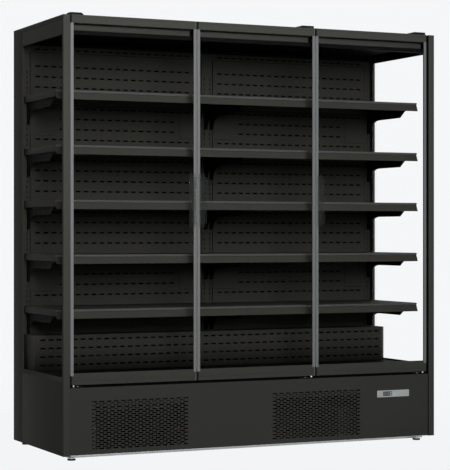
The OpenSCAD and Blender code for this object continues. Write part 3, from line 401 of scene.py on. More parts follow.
# %% [markdown]
# Little light reaches the foot of the cabinet, and least of all the corner where the riser
# meets the deck. More lamps and their blockers could show that. Here one more group does it: it
# makes a colour darker from a height downwards, goes between a finish and its shader, and reads
# the height from the object's own coordinates. The shade then stays under any other light too.

# %% Shade that deepens downwards
fade, ins, outs = group("fade", {"Color": (0.03, 0.03, 0.03, 1), "Low": 0.0, "High": 1.0,
                                 "Least": 0.5}, {"Color": "NodeSocketColor"})
parts = node(fade, "ShaderNodeSeparateXYZ")
wire(fade, node(fade, "ShaderNodeTexCoord").outputs["Object"], parts.inputs[0])
ramp = put(node(fade, "ShaderNodeMapRange"), To_Max=1)
wire(fade, parts.outputs["Z"], ramp.inputs["Value"])
for label, target in (("Low", "From Min"), ("High", "From Max"), ("Least", "To Min")):
    wire(fade, ins.outputs[label], ramp.inputs[target])
wire(fade, tinted(fade, ins.outputs["Color"], ramp.outputs[0]), outs.inputs["Color"])


def darkened(name, low, high, least):
    """Darkens a finish below a height, down to a share of its colour at a lower height."""
    tree = looks[name].node_tree
    colour = tree.nodes["Principled BSDF"].inputs["Base Color"]
    source = colour.links[0].from_socket
    shade = put(node(tree, "ShaderNodeGroup", node_tree=fade), Low=low, High=high, Least=least)
    wire(tree, source, shade.inputs["Color"])
    wire(tree, shade.outputs["Color"], colour)


SHADES = {"painted_frame": (0.25, 1.3, 0.76), "riser_coat": (0.365, 0.535, 0.15)}
for name, (low, high, least) in SHADES.items():
    darkened(name, low, high, least)
print("finishes with a shade:", len(SHADES))

# %% [markdown]
# The glass of the doors and end walls is anti-reflective, so it hardly shows. Real panes pass
# the light of the room, while a renderer stops lamp light at refracting glass. Making the
# pane fully clear for the rays that carry light, and glass for the rest, keeps the inside as
# bright as it is in the shop. The smoky handles are the same kind of clear shader with a grey
# tint. Smoke also scatters a little light inside itself, and a very faint glow stands for it.

# %% Glass and smoky plastic
def clear_glass(name, tint, body, rim):
    """Glass that is nearly clear, glossier at its rim, and open for rays that carry light."""
    made = bpy.data.materials.new(name)
    made.use_nodes = True
    tree = made.node_tree
    shader = put(tree.nodes["Principled BSDF"], Base_Color=tint, Roughness=0.0, IOR=1.03,
                 Transmission_Weight=1.0)
    path = node(tree, "ShaderNodeLightPath")
    light = maths(tree, "MAXIMUM", path.outputs["Is Shadow Ray"], path.outputs["Is Diffuse Ray"])
    facing = put(node(tree, "ShaderNodeLayerWeight"), Blend=0.5).outputs["Facing"]
    veil = maths(tree, "MULTIPLY_ADD", maths(tree, "POWER", facing, 4.0), rim, body)
    wire(tree, maths(tree, "MULTIPLY", veil, maths(tree, "SUBTRACT", 1.0, light)),
         shader.inputs["Alpha"])
    return made


looks["door_glass"] = clear_glass("door_glass", (0.985, 0.99, 0.988, 1), 0.02, 0.08)
looks["side_glass"] = clear_glass("side_glass", (0.98, 0.985, 0.983, 1), 0.004, 0.02)
smoke = clear_glass("handle_smoke", (0.7, 0.7, 0.7, 1), 1.0, 0.0)
tree = smoke.node_tree
shader = put(tree.nodes["Principled BSDF"], Emission_Color=(0.95, 1, 0.98, 1),
             Emission_Strength=0.005)
source = put(node(tree, "ShaderNodeGroup", node_tree=coat), Color=(0.70, 0.705, 0.70, 1),
             Drift=0.15, Grain=40.0)
wire(tree, source.outputs["Color"], shader.inputs["Base Color"])
looks["handle_smoke"] = smoke
print("finishes:", len(looks))

# %% [markdown]
# Every solid of the frame takes the finish of its own slot first. The pieces that are built
# further down replace some of these solids, and the rest stay as they are shaped.

# %% Finishes on the frame's solids
OWN_LOOK = {"shelf_uprights": "back_coat", "back_panels_left": "back_coat",
            "back_panels_right": "back_coat", "riser_cover": "riser_coat",
            "lower_front_panel": "panel_coat", "canopy_front": "black_sheet",
            "deck_trays": "black_sheet"}


def look_of(name):
    """The finish of a solid: its own where it has one, or else that of its slot."""
    return looks[OWN_LOOK.get(name, slot_of[name])]


for name, solid in solids.items():
    look = look_of(name)
    for holder in solid.material_slots:
        holder.material = look
    if not solid.material_slots:
        solid.data.materials.append(look)
print("dressed solids:", len(solids))

# %% [markdown]
# Sheet metal is never folded to a knife edge: even a tight bend keeps a radius that draws a
# fine light line. A copy of a solid can get such edges in four steps: merge its loose
# triangles, dissolve the flat ones into whole faces, pick the sharp edges, and bevel them.
# The solid's own mesh stays untouched, and the copy stands in its place.

# %% Rounded copies of the solids
def show(name, bm, materials, body, replaced=(), smooth=35):
    """Turns a bmesh into a piece on a body, with a finish and the solids that it stands for."""
    mesh = bpy.data.meshes.new(name)
    bm.to_mesh(mesh)
    bm.free()
    for material in materials:
        mesh.materials.append(material)
    mesh.shade_smooth()
    mesh.set_sharp_from_angle(angle=math.radians(smooth))
    piece = bpy.data.objects.new(name, mesh)
    bpy.context.scene.collection.objects.link(piece)
    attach(piece, body)
    if replaced:
        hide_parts(*replaced)
    return piece


def round_edges(bm, radius, segments=2, angle=35):
    """Bevels every edge that turns more than an angle."""
    limit = math.radians(angle)
    sharp = [e for e in bm.edges if e.is_manifold and e.calc_face_angle(0) > limit]
    bmesh.ops.bevel(bm, geom=sharp, offset=radius, offset_type="OFFSET", segments=segments,
                    profile=0.5, affect="EDGES", clamp_overlap=True, material=-1)


def copied(name):
    """A merged copy of a solid, its flat triangles dissolved into faces."""
    bm = bmesh.new()
    bm.from_mesh(solids[name].data)
    bmesh.ops.remove_doubles(bm, verts=bm.verts, dist=0.000001)
    bmesh.ops.dissolve_limit(bm, angle_limit=math.radians(1), verts=bm.verts, edges=bm.edges)
    for face in bm.faces:
        face.material_index = 0
    return bm


def rounded(name, radius, body="cabinet", segments=2):
    """A piece like a solid of the frame, with rounded edges."""
    bm = copied(name)
    round_edges(bm, radius * MM, segments)
    return show(name + "_rounded", bm, [look_of(name)], body, [name])


ROUNDED = {"side_panels": 0.8, "roof_panel": 1.5, "base_frame": 0.8, "door_sill": 0.6,
           "canopy_front": 0.6, "drip_tray": 0.8, "light_covers": 0.8, "deck_trays": 0.4,
           "shelves_left": 0.5, "shelves_right": 0.5}
for name, radius in ROUNDED.items():
    rounded(name, radius)
print("rounded copies:", len(ROUNDED))

# %% [markdown]
# The walls are shaded by the way their faces look. On the left end wall the faces that look
# towards the left take the darker side coat, painted shade for the side that the lamps light
# less. On the right end wall the same faces, its inner side, are painted black: painted shade
# in the narrow space beside the doors. The back wall is painted black inside, painted shade
# that makes its slots look deep, and so is the face of each rear post where the end glass
# meets it. Sorting faces by where they look gives each side its own finish.

# %% Walls with painted shade
POST_FRONT = 580
FACING = 0.7
# Each wall: the way its shaded faces look, the finish that paints the shade, and the radius.
PAINTED_SHADE_FACES = {"end_frame_left": ((-1, 0, 0), "painted_side", 0.5),
             "end_frame_right": ((-1, 0, 0), "black_sheet", 0.5),
             "rear_wall": ((0, -1, 0), "black_sheet", 1.5)}
for name, (way, second, radius) in PAINTED_SHADE_FACES.items():
    bm = copied(name)
    round_edges(bm, radius * MM)
    bm.normal_update()
    for face in bm.faces:
        depth = (face.calc_center_median().y - FRONT) / MM
        at_glass = face.normal.y < -FACING and abs(depth - POST_FRONT) < 1
        turned_there = face.normal.dot(Vector(way)) > FACING
        # Faces turned that way, and rear post faces at the end glass, take the painted shade.
        face.material_index = 1 if turned_there or at_glass else 0
    show(name + "_rounded", bm, [look_of(name), looks[second]], "cabinet", [name])
print("walls with painted shade:", len(PAINTED_SHADE_FACES))

# %% [markdown]
# Each shelf ends in a slanted ticket rail with a rolled bead along its top. The bead is painted
# lighter, a painted highlight, and the groove below the bead is painted dark, the painted
# shadow of the bead. The faces of a rounded copy are sorted by how far they lie below the top
# of their shelf, and each band takes its own finish.

# %% Ticket rails with a bead and a groove
SHELF_TOPS = [650 + 250 * k for k in range(5)]
BEAD_LOW = 10.2
GROOVE_LOW = 12.5
bm = copied("ticket_rails")
cuts = [top - drop for top in SHELF_TOPS for drop in (BEAD_LOW, GROOVE_LOW)]
for h in cuts:
    bmesh.ops.bisect_plane(bm, geom=bm.verts[:] + bm.edges[:] + bm.faces[:],
                           plane_co=at(0, 0, h), plane_no=(0, 0, 1))
for face in bm.faces:
    h = (face.calc_center_median().z - BASE) / MM
    drop = min(top - h for top in SHELF_TOPS if top > h - 1)
    # Bead: painted highlight; groove: painted shadow of the bead; below: the rail's own coat.
    face.material_index = 1 if drop < BEAD_LOW else (2 if drop < GROOVE_LOW else 0)
show("ticket_rails_banded", bm, [looks["painted_inner"], looks["painted_bead_highlight"], looks["painted_groove_shadow"]],
     "cabinet", ["ticket_rails"])
print("ticket rails:", 2 * len(SHELF_TOPS))

# %% [markdown]
# A shelf bracket is a plate with a chamfered nose and a foot that widens upwards in a hollow
# curve. Its outline is one closed loop of points, with a quarter of an ellipse for the curve,
# and a single extrusion gives the plate its thickness. Two hooks hold it in the upright.

# %% Shelf brackets
def block(bm, low, high, material=0):
    """Adds a box between two corners."""
    low, high = Vector(low), Vector(high)
    shape = Matrix.LocRotScale((low + high) / 2, None, high - low)
    made = bmesh.ops.create_cube(bm, size=1, matrix=shape)
    for face in {face for vertex in made["verts"] for face in vertex.link_faces}:
        face.material_index = material


UPRIGHTS = (-935, -4.5, 26.5, 935)
BRACKET_T = 3
SHELF_SHEET = 2
NOSE = 200
REAR = 605
DEEP = 65
FOOT = 130
FOOT_WIDE = 40
CURVE_LONG = 85
HOOK_DROPS = (55, 105)
HOOK_LONG = 6
HOOK_HALF = 7
curve = [(REAR - FOOT_WIDE - CURVE_LONG * (1 - math.cos(math.radians(a))),
          -FOOT + (FOOT - DEEP) * math.sin(math.radians(a))) for a in range(0, 91, 9)]
outline = [(NOSE, -30), (NOSE, 0), (REAR, 0), (REAR, -FOOT), *curve, (NOSE + 70, -DEEP),
           (NOSE + 24, -35)]
bm = bmesh.new()
for x in UPRIGHTS:
    for top in SHELF_TOPS:
        rim = [bm.verts.new(at(x - BRACKET_T / 2, d, top - SHELF_SHEET + drop))
               for d, drop in outline]
        plate = bm.faces.new(rim)
        made = bmesh.ops.extrude_face_region(bm, geom=[plate])["geom"]
        moved = [item for item in made if isinstance(item, bmesh.types.BMVert)]
        bmesh.ops.translate(bm, verts=moved, vec=(BRACKET_T * MM, 0, 0))
        for drop in HOOK_DROPS:
            block(bm, at(x - BRACKET_T / 2, REAR, top - drop - HOOK_HALF),
                  at(x + BRACKET_T / 2, REAR + HOOK_LONG, top - drop + HOOK_HALF))
bmesh.ops.recalc_face_normals(bm, faces=bm.faces)
show("shelf_brackets_curved", bm, [look_of("shelf_brackets")], "cabinet",
     ["shelf_brackets"])
print("brackets:", len(UPRIGHTS) * len(SHELF_TOPS))

# %% [markdown]
# Turned parts such as screws, feet and the compressor's can are all made the same way: half
# of the outline is drawn as points of radius and distance, and spun round an axis. A lathe
# modifier could do the same, but a spin inside the mesh leaves a finished piece that needs no
# further settings. Folded and milled parts start as boxes whose edges are rounded afterwards.

# %% Helpers for turned and folded parts
def span(name):
    """The least and greatest corner of a solid, in metres."""
    places = [vertex.co for vertex in solids[name].data.vertices]
    return (Vector([min(p[i] for p in places) for i in range(3)]),
            Vector([max(p[i] for p in places) for i in range(3)]))


def turned(bm, outline, foot, axis=(0, 0, 1), steps=32, material=0):
    """Spins an outline of radii and distances in mm round an axis that starts at a foot."""
    old = set(bm.verts)
    points = [bm.verts.new((radius * MM, 0, along * MM)) for radius, along in outline]
    edges = [bm.edges.new(pair) for pair in zip(points, points[1:])]
    bmesh.ops.spin(bm, geom=points + edges, axis=(0, 0, 1), cent=(0, 0, 0), steps=steps,
                   angle=math.tau, use_merge=True)
    fresh = [vertex for vertex in bm.verts if vertex not in old]
    bmesh.ops.remove_doubles(bm, verts=fresh, dist=0.000001)
    fresh = [vertex for vertex in bm.verts if vertex not in old]
    turn = Vector((0, 0, 1)).rotation_difference(Vector(axis)).to_matrix().to_4x4()
    bmesh.ops.transform(bm, matrix=Matrix.Translation(foot) @ turn, verts=fresh)
    faces = list({face for vertex in fresh for face in vertex.link_faces})
    bmesh.ops.recalc_face_normals(bm, faces=faces)
    for face in faces:
        face.material_index = material


def screw(bm, place, axis, radius=4.0, high=2.0, material=0):
    """A pan head screw with a recess, seated on a surface."""
    outline = [(0, -0.3), (radius, -0.3), (radius, 0.35 * high), (0.86 * radius, 0.8 * high),
               (0.6 * radius, high), (0.32 * radius, high), (0.24 * radius, 0.3 * high),
               (0, 0.3 * high)]
    turned(bm, outline, place, axis, 20, material)


print("the compressor spans", [round(v, 3) for v in span("compressor")[0]])

# %% [markdown]
# Each door turns on two pins. A black cap covers the upper hinge plate, and the lower plate
# lies on the ledge, held by a screw. Caps are moulded with small soft corners, so a copy of
# the solid with rounded edges does well, while pins and screws are spun. A small black block
# closes the end of the outermost cap on the left.

# %% Hinge caps, plates, pins and screws
LEDGE = 306.5
DOOR_TOP = 1977.5
PLATE = 3
PIN_IN = 18
PIN = 5.0
PIN_DEPTH = 21
DOOR_FOOT = 317
SCREW_INWARD = {"left": 20, "middle": -32, "right": -32}
rounded("hinge_brackets", 0.9, segments=3)
bm = bmesh.new()
block(bm, at(-931, 11, 1978.5), at(-925.6, 60, 1987.4))
round_edges(bm, 0.6 * MM)
show("hinge_end_plate", bm, [looks["black_plastic"]], "cabinet")
bm = bmesh.new()
for side, x in PIVOTS.items():
    for low, high in ((LEDGE, DOOR_FOOT + PIN_IN), (DOOR_TOP - PIN_IN, DOOR_TOP + 1 + PLATE)):
        length = high - low
        turned(bm, [(0, 0), (PIN - 0.6, 0), (PIN, 0.6), (PIN, length - 0.6), (PIN - 0.6, length),
                    (0, length)], at(x, PIN_DEPTH, low))
    screw(bm, at(x + SCREW_INWARD[side], PIN_DEPTH, LEDGE + PLATE), (0, 0, 1))
show("hinge_hardware", bm, [looks["zinc_steel"]], "cabinet", ["hinge_pins"])
print("hinges dressed:", len(PIVOTS))

# %% [markdown]
# The handles are open channels of smoky plastic, held to the metal edge of each door. The
# channel is the solid's own, its rims rounded as a mould would leave them.

# %% Smoky handles
for side in DOORS:
    rounded(side + "_door_handle", 1.2, side + "_door", 3)
print("handles:", len(DOORS))

# %% [markdown]
# The edge of a glass door is a thin metal angle: its lip frames the front pane, and its wall
# closes the side. The spacer between the panes is black, as on any sealed pane. The angle and
# the spacer are two boxes each, so the light seen between the doors falls on a real wall. That
# wall is painted about four times lighter than the lip: painted light for the lamp light that
# barely reaches into the gap.

# %% Door edges with black spacers
EDGE_W = 14
EDGE_WALL = 2
DOOR_FRONT = 11
DOOR_BACK = 35
SPACER_W = 6
SPACER_FRONT = 17
SPACER_BACK = 29
PANE_LOW = 369
PANE_HIGH = 1940.5
for side, (left, right) in DOORS.items():
    name = side + "_door_edges"
    bm = bmesh.new()
    for x, way in ((left, 1), (right, -1)):
        for a, b, near, far, finish_index in (
                (0, EDGE_W, DOOR_FRONT, DOOR_FRONT + EDGE_WALL, 0),
                (0, EDGE_WALL, DOOR_FRONT + EDGE_WALL, DOOR_BACK, 2),
                (EDGE_WALL, EDGE_WALL + SPACER_W, SPACER_FRONT, SPACER_BACK, 1)):
            first, last = sorted((x + way * a, x + way * b))
            block(bm, at(first, near, PANE_LOW), at(last, far, PANE_HIGH), finish_index)
    # The third finish, on the wall, is painted light.
    show(name + "_angle", bm, [looks["edge_metal"], looks["seal_rubber"], looks["edge_wall"]],
         side + "_door", [name])
print("door edges:", len(DOORS))

# %% [markdown]
# The cabinet stands on four levelling feet. Each has a moulded pad, a hexagon nut and a
# threaded stem. The thread is drawn as closed rings, because a true helix would look the same
# at this size and cost many more faces.

# %% Levelling feet
PAD = 18.9
STEM = 5.0
THREAD_PITCH = 1.5
FEET_X = (-920.5, 880.5)
FEET_DEPTHS = (25, 665)
bm = bmesh.new()
for x in FEET_X:
    for depth in FEET_DEPTHS:
        foot = at(x, depth, -20)
        turned(bm, [(0, 0), (PAD - 2, 0), (PAD - 0.5, 1), (PAD, 2.5), (PAD, 6), (PAD - 1.5, 7.5),
                    (PAD - 7, 8), (0, 8)], foot, steps=40)
        turned(bm, [(0, 8), (11, 8), (11, 11.4), (10, 12), (0, 12)], foot, steps=6, material=1)
        thread = [(0, 8)]
        for turn in range(8):
            thread += [(STEM - 0.7, 8 + THREAD_PITCH * turn),
                       (STEM, 8.75 + THREAD_PITCH * turn)]
        thread += [(STEM - 0.7, 20), (0, 20)]
        turned(bm, thread, foot, steps=20, material=1)
show("levelling_feet_detailed", bm, [looks["foot_plastic"], looks["zinc_steel"]], "cabinet",
     ["levelling_feet"])
print("feet:", len(FEET_X) * len(FEET_DEPTHS))

# %% [markdown]
# The controller sits behind a brushed plate. Its window shows a small grey liquid crystal
# screen with dark digits. Every digit is built from up to seven bars, and a short table says
# which bars the numerals 2 and 5 leave out, so a reading made of these numerals can be set.

# %% Controller
rounded("controller_plate", 0.35)
rounded("controller_display", 0.4)
for name in ("key_up", "key_down"):
    rounded(name, 0.8, name + "_body", 3)

screen = bpy.data.materials.new("screen")
screen.use_nodes = True
tree = screen.node_tree
shader = put(tree.nodes["Principled BSDF"], Specular_IOR_Level=0.3, Coat_Weight=0.4)
source = put(node(tree, "ShaderNodeGroup", node_tree=coat), Color=(0.11, 0.125, 0.14, 1),
             Drift=0.2, Grain=1500.0, Roughness=0.3)
wire(tree, source.outputs["Color"], shader.inputs["Base Color"])
wire(tree, source.outputs["Roughness"], shader.inputs["Roughness"])

WINDOW_X = 683
PLATE_MIDDLE = 216
SCREEN_W = 30
SCREEN_H = 15
SCREEN_D = 2.1
SCREEN_T = 0.15
bm = bmesh.new()
block(bm, at(WINDOW_X, SCREEN_D, PLATE_MIDDLE - SCREEN_H / 2),
      at(WINDOW_X + SCREEN_W, SCREEN_D + SCREEN_T, PLATE_MIDDLE + SCREEN_H / 2))
BARS = {"top": (0.5, 2, 1, 0), "upper left": (0, 1.5, 0, 1), "upper right": (1, 1.5, 0, 1),
        "middle": (0.5, 1, 1, 0), "lower left": (0, 0.5, 0, 1), "lower right": (1, 0.5, 0, 1),
        "low": (0.5, 0, 1, 0)}
UNLIT = {"2": ("upper left", "lower right"), "5": ("upper right", "lower left")}
DIGIT_W = 4.6
DIGIT_H = 4.6
DIGIT_STEP = 9
FIRST_DIGIT = 8
POINT_X = 14.2
BAR = 1.1
INK = 0.05
READING = "25"
for place, numeral in enumerate(READING):
    left = WINDOW_X + FIRST_DIGIT + place * DIGIT_STEP
    for bar, (across, up, wide, tall) in BARS.items():
        if bar in UNLIT[numeral]:
            continue
        x = left + across * DIGIT_W
        h = PLATE_MIDDLE - DIGIT_H + up * DIGIT_H
        half = Vector((DIGIT_W if wide else BAR, DIGIT_H if tall else BAR)) / 2
        block(bm, at(x - half.x, SCREEN_D - INK, h - half.y),
              at(x + half.x, SCREEN_D + INK, h + half.y), 1)
point = WINDOW_X + POINT_X
block(bm, at(point, SCREEN_D - INK, PLATE_MIDDLE - DIGIT_H - BAR / 2),
      at(point + BAR, SCREEN_D + INK, PLATE_MIDDLE - DIGIT_H + BAR / 2), 1)
show("display_screen", bm, [screen, looks["black_plastic"]], "cabinet")
print("digits on the screen:", len(READING))

# %% [markdown]
# The rails of a door end in moulded caps with rounded corners. The cap on the left is painted
# black, painted shade on a corner that looks left, and the cap on the right is painted grey, a
# painted highlight on a corner that looks right, so a seam between two doors shows a light and a
# dark line. The right door's right end has no grey cap. Only the upright edges at the front get
# this larger radius, before the rest get the small radius of a fold. Cuts part the caps from the
# rail, and also the short tongues of bright metal by which the edges of the glass run over the
# bottom rail.

# %% Door rails with rounded ends
END_CAP = 6.5
STRIP_LOW = 358
CORNER = 4.5
FOLD = 0.5
for side, ends in DOORS.items():
    name = side + "_door_rails"
    bm = copied(name)
    corners = []
    for edge in bm.edges:
        first, second = (vertex.co for vertex in edge.verts)
        upright = abs(first.z - second.z) > 10 * MM and abs(first.x - second.x) < 0.1 * MM
        front = max(first.y, second.y) < FRONT + (DOOR_FRONT + 0.2) * MM
        at_end = min(abs(first.x / MM - end) for end in ends) < 0.2
        if upright and front and at_end:
            corners.append(edge)
    bmesh.ops.bevel(bm, geom=corners, offset=CORNER * MM, offset_type="OFFSET", segments=5,
                    profile=0.5, affect="EDGES", clamp_overlap=True, material=-1)
    round_edges(bm, FOLD * MM)
    cuts = [(at(x, 0, 0), (1, 0, 0)) for end, way in zip(ends, (1, -1))
            for x in (end + way * END_CAP, end + way * EDGE_W)]
    cuts.append((at(0, 0, STRIP_LOW), (0, 0, 1)))
    for place, normal in cuts:
        bmesh.ops.bisect_plane(bm, geom=bm.verts[:] + bm.edges[:] + bm.faces[:],
                               plane_co=place, plane_no=normal)
    for face in bm.faces:
        middle = face.calc_center_median()
        x, h = middle.x / MM, (middle.z - BASE) / MM
        from_left, from_right = x - ends[0], ends[1] - x
        if STRIP_LOW < h <= PANE_LOW and min(from_left, from_right) < EDGE_W:
            face.material_index = 3
        # Black left cap: painted shade; grey right cap: painted highlight.
        elif from_left < END_CAP:
            face.material_index = 1
        elif from_right < END_CAP and side != "right":
            face.material_index = 2
    show(name + "_rounded", bm, [looks["painted_frame"], looks["black_plastic"], looks["painted_cap_highlight"],
                                 looks["edge_metal"]], side + "_door", [name])
print("door rails:", len(DOORS))

# %% [markdown]
# Panels that hang between uprights leave dark joints. A joint is drawn as a thin black strip
# that stands a third of a millimetre proud, because a true gap would need the panels recut.
# The same strips draw the joint under the slotted rail above the panels. Under each cover plate,
# and beside each plate at a bay's right end, a strip is partly the plate's joint and partly its
# painted shadow.

# %% Joints and painted shadows of the back panels
WALL_D = 605
PROUD = 0.35
RISER_TOP = 515
PANEL_TOP = 1867
BACK_TOP = 1898
COVER_W = 118
COVER_LOWS = (1470, 720)
COVER_H = 110
COVER_IN = 14
LINE = 1.6
SIDE_LINE = 1.2
BAYS = ((-919.5, -20.0), (42.0, 919.5))
bm = bmesh.new()
JOINTS_AND_SHADOWS = [(-957.2, -950.6, RISER_TOP, BACK_TOP), (950.6, 957.2, RISER_TOP, BACK_TOP),
          (-921.5, -917.8, RISER_TOP, PANEL_TOP), (-21.8, -18.4, RISER_TOP, PANEL_TOP),
          (38.4, 44.0, RISER_TOP, PANEL_TOP), (918.8, 920.4, RISER_TOP, PANEL_TOP)]
for left, right in BAYS:
    JOINTS_AND_SHADOWS.append((left, right, PANEL_TOP - 1, PANEL_TOP + 1.2))
    # Strips along the cover plates: partly joints, partly painted shadows of the plates.
    for low in COVER_LOWS:
        JOINTS_AND_SHADOWS.append((left + COVER_IN, left + COVER_W, low - LINE, low))
        JOINTS_AND_SHADOWS.append((right - COVER_W, right - COVER_IN, low - LINE, low))
        JOINTS_AND_SHADOWS.append((right - COVER_W - SIDE_LINE, right - COVER_W, low - LINE,
                       low + COVER_H))
for left, right, low, high in JOINTS_AND_SHADOWS:
    block(bm, at(left, WALL_D - PROUD, low), at(right, WALL_D + 0.2, high))
show("panel_joints_and_shadows", bm, [looks["black_sheet"]], "cabinet")
print("joints:", len(JOINTS_AND_SHADOWS))

# %% [markdown]
# Screws hold the back panels, the service panel and the trims. All are spun from the same
# outline, and their places follow the panels: four down the middle of each bay, and two on
# each slotted rail above.

# %% Screws of the panels
PANEL_FRONT = 604
RAIL_H = 1854
RAIL_IN = 194
COVER_ROWS = (773.3, 1039.3, 1282.3, 1813.6)
bm = bmesh.new()
for left, right in BAYS:
    for h in COVER_ROWS:
        screw(bm, at((left + right) / 2, PANEL_FRONT, h), (0, -1, 0), 4.0, 1.8)
    for x in (left + RAIL_IN, right - RAIL_IN):
        screw(bm, at(x, PANEL_FRONT, RAIL_H), (0, -1, 0), 4.0, 1.8)
show("panel_screws", bm, [looks["black_plastic"]], "cabinet")

BACK_D = 710
BACK_ROWS = (200, 12, 1925)
BACK_EDGES = (-945, 945)
bm = bmesh.new()
places = [(x, h) for x in range(-930, 931, 310) for h in BACK_ROWS]
places += [(x, h) for h in range(320, 1801, 370) for x in BACK_EDGES]
for x, h in places:
    screw(bm, at(x, BACK_D, h), (0, 1, 0), 4.5, 2.2)
show("rear_screws", bm, [looks["zinc_steel"]], "cabinet")
print("screws at the back:", len(places))

# %% [markdown]
# A fan blade is a curved sheet: it is pitched at the hub, flatter at the tip, and cambered
# across. A grid whose points are moved by this rule gives one blade, solidify gives it a
# thickness, and copies turned round the hub make the fan. Each fan rides its own body, so it
# turns with the motor that carries it.

# %% Fans
CHORD_SHARE = 0.82
SWEEP = 0.35
PITCH = 0.42
UNTWIST = 0.14
CAMBER = 0.10
BLADE_T = 1.6


def fan(name, centre, axis, radius, hub, high, blades):
    """A rotor with curved blades on a body of its own; sizes in mm, centre at its low end."""
    bm = bmesh.new()
    turned(bm, [(5.2, 0), (hub - 2, 0), (hub, 2), (hub, high - 4), (hub - 4, high),
                (5.2, high), (5.2, 0)], (0, 0, 0), steps=36)
    chord = math.tau / blades * CHORD_SHARE
    for blade in range(blades):
        made = bmesh.ops.create_grid(bm, x_segments=8, y_segments=8, size=1)
        for vertex in made["verts"]:
            out, across = (vertex.co.x + 1) / 2, vertex.co.y
            reach = hub - 1 + out * (radius - 1 - hub + 1)
            angle = blade * math.tau / blades + across * chord / 2 + SWEEP * out
            rise = (PITCH - UNTWIST * out) * across + CAMBER * (1 - across * across)
            vertex.co = (reach * math.cos(angle) * MM, reach * math.sin(angle) * MM,
                         (0.45 + rise) * high * MM)
        faces = list({face for vertex in made["verts"] for face in vertex.link_faces})
        bmesh.ops.solidify(bm, geom=faces, thickness=BLADE_T * MM)
    turn = Vector((0, 0, 1)).rotation_difference(Vector(axis)).to_matrix().to_4x4()
    bmesh.ops.transform(bm, matrix=Matrix.Translation(centre) @ turn, verts=bm.verts)
    bmesh.ops.recalc_face_normals(bm, faces=bm.faces)
    return show(name + "_curved", bm, [looks["fan_plastic"]], name + "_body",
                [name], 40)


FAN_X = {"left": -600, "middle": 0, "right": 600}
for side, x in FAN_X.items():
    fan("evaporator_fan_" + side, at(x, 533, 399), (0, 0, 1), 58, 20, 26, 5)
CONDENSER_X = -593.75
CONDENSER_H = 98
fan("condenser_fan", at(CONDENSER_X, 100, CONDENSER_H), (0, 1, 0), 84, 26, 32, 5)
print("fans:", len(FAN_X) + 1)

# %% [markdown]
# The compressor is a drawn steel can in two halves, joined by a weld round its waist. It rests
# on a plate with four rubber feet, and a cover beside it hides the terminals. The can is one
# spun outline, with the weld as a low ridge in it.

# %% Compressor
CAN = 80
WELD_OUT = 2.2
FOOT_X = 87
FOOT_Y = 57
low, high = span("compressor")
foot = Vector(((low.x + high.x) / 2, (low.y + high.y) / 2, low.z))
bm = bmesh.new()
dome = [(CAN * math.cos(math.radians(a)), 132 + 44 * math.sin(math.radians(a)))
        for a in range(0, 91, 10)]
turned(bm, [(0, 16), (CAN - 18, 16), (CAN - 6, 20), (CAN, 30), (CAN, 84), (CAN + WELD_OUT, 86),
            (CAN + WELD_OUT, 90), (CAN, 92), *dome], foot, steps=64)
for sx in (-1, 1):
    for sy in (-1, 1):
        corner = foot + Vector((sx * FOOT_X, sy * FOOT_Y, 0)) * MM
        turned(bm, [(0, 0), (10, 0), (12, 1.5), (12, 4), (9.5, 5.5), (12, 7), (12, 11), (10, 12),
                    (0, 12)], corner, steps=24, material=1)
        turned(bm, [(0, 16), (8, 16), (8, 21), (7, 22), (0, 22)], corner, steps=6, material=2)
show("compressor_can", bm, [looks["black_plastic"], looks["seal_rubber"], looks["zinc_steel"]],
     "cabinet", ["compressor"])
bm = bmesh.new()
block(bm, foot + Vector((-105, -75, 12)) * MM, foot + Vector((105, 75, 16)) * MM)
block(bm, foot + Vector((-24, -79.5, 60)) * MM, foot + Vector((24, -60, 118)) * MM)
round_edges(bm, 3 * MM, 3)
show("compressor_plate", bm, [looks["black_plastic"]], "cabinet")
print("points on the can's dome:", len(dome))

# %% [markdown]
# Both coils are packs of thin aluminium fins on copper tubes. The fins are plain sheets with
# few faces, because there are hundreds of them, and the tubes run through all of them from
# end plate to end plate. The condenser's fins, end plates and tubes are all black.

# %% Coils
FIN_T = 0.4
END_T = 2


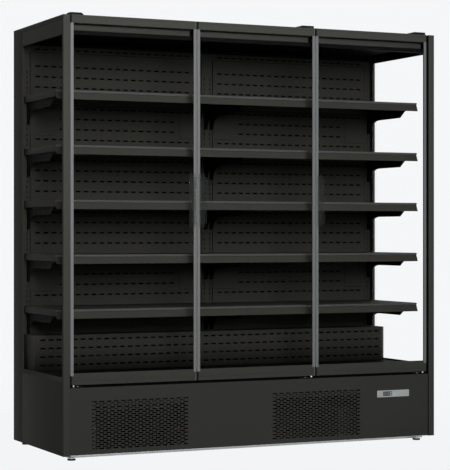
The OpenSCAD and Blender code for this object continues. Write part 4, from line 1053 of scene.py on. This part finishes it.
def fin_pack(name, pitch, rows, levels, replaced, materials):
    """Fins across a solid's box, with tubes along x between two end plates."""
    low, high = span(replaced)
    bm = bmesh.new()
    count = int((high.x - low.x) / (pitch * MM)) - 2
    start = (low.x + high.x - (count - 1) * pitch * MM) / 2
    for i in range(count):
        x = start + i * pitch * MM
        block(bm, (x - FIN_T / 2 * MM, low.y, low.z + 2 * MM),
              (x + FIN_T / 2 * MM, high.y, high.z))
    for x in (low.x + 3 * MM, high.x - 5 * MM):
        block(bm, (x, low.y, low.z), (x + END_T * MM, high.y, high.z), 1)
    for row in range(rows):
        for level in range(levels):
            y = low.y + (row + 0.5) * (high.y - low.y) / rows
            z = low.z + (level + 0.5) * (high.z - low.z) / levels
            length = (high.x - low.x) / MM - 1
            turned(bm, [(0, 0), (4.2, 0), (5, 1), (5, length - 1), (4.2, length), (0, length)],
                   (low.x + 0.5 * MM, y, z), (1, 0, 0), 12, 2)
    show(name, bm, materials, "cabinet", [replaced])
    return count


fins = fin_pack("condenser_fins", 4, 2, 7, "condenser_coil", [looks["black_sheet"]] * 3)
bare = [looks["coil_aluminium"], looks["galvanised_steel"], looks["pipe_copper"]]
fins += fin_pack("evaporator_fins", 8, 6, 2, "evaporator_coil", bare)
print("fins:", fins)

# %% [markdown]
# The electrical box is closed by a lid with an overlapping rim and four screws, and its gland
# has a hexagon to hold it by.

# %% Electrical box
LID = 14 * MM
RIM = 1 * MM
SCREW_IN = 12 * MM
low, high = span("electrical_box")
back = at(0, 420, 0).y
bm = bmesh.new()
block(bm, (low.x, low.y, low.z), (high.x, back, high.z - 12 * MM))
block(bm, (low.x - RIM, low.y - RIM, high.z - LID), (high.x + RIM, back + RIM, high.z))
round_edges(bm, 1.5 * MM, 3)
for x in (low.x + SCREW_IN, high.x - SCREW_IN):
    for y in (low.y + SCREW_IN, back - SCREW_IN):
        screw(bm, (x, y, high.z), (0, 0, 1), 4, 2, 1)
turned(bm, [(0, 0), (11, 0), (11, 8), (9.5, 9), (9.5, 14), (10.5, 15), (9, 22), (4, 22), (4, 14),
            (0, 14)], (low.x + 60 * MM, back, low.z + 40 * MM), (0, 1, 0), 6, 2)
show("electrical_box_lid", bm, [looks["box_grey"], looks["zinc_steel"], looks["black_plastic"]],
     "cabinet", ["electrical_box"])
print("box rises to", round(high.z, 3))
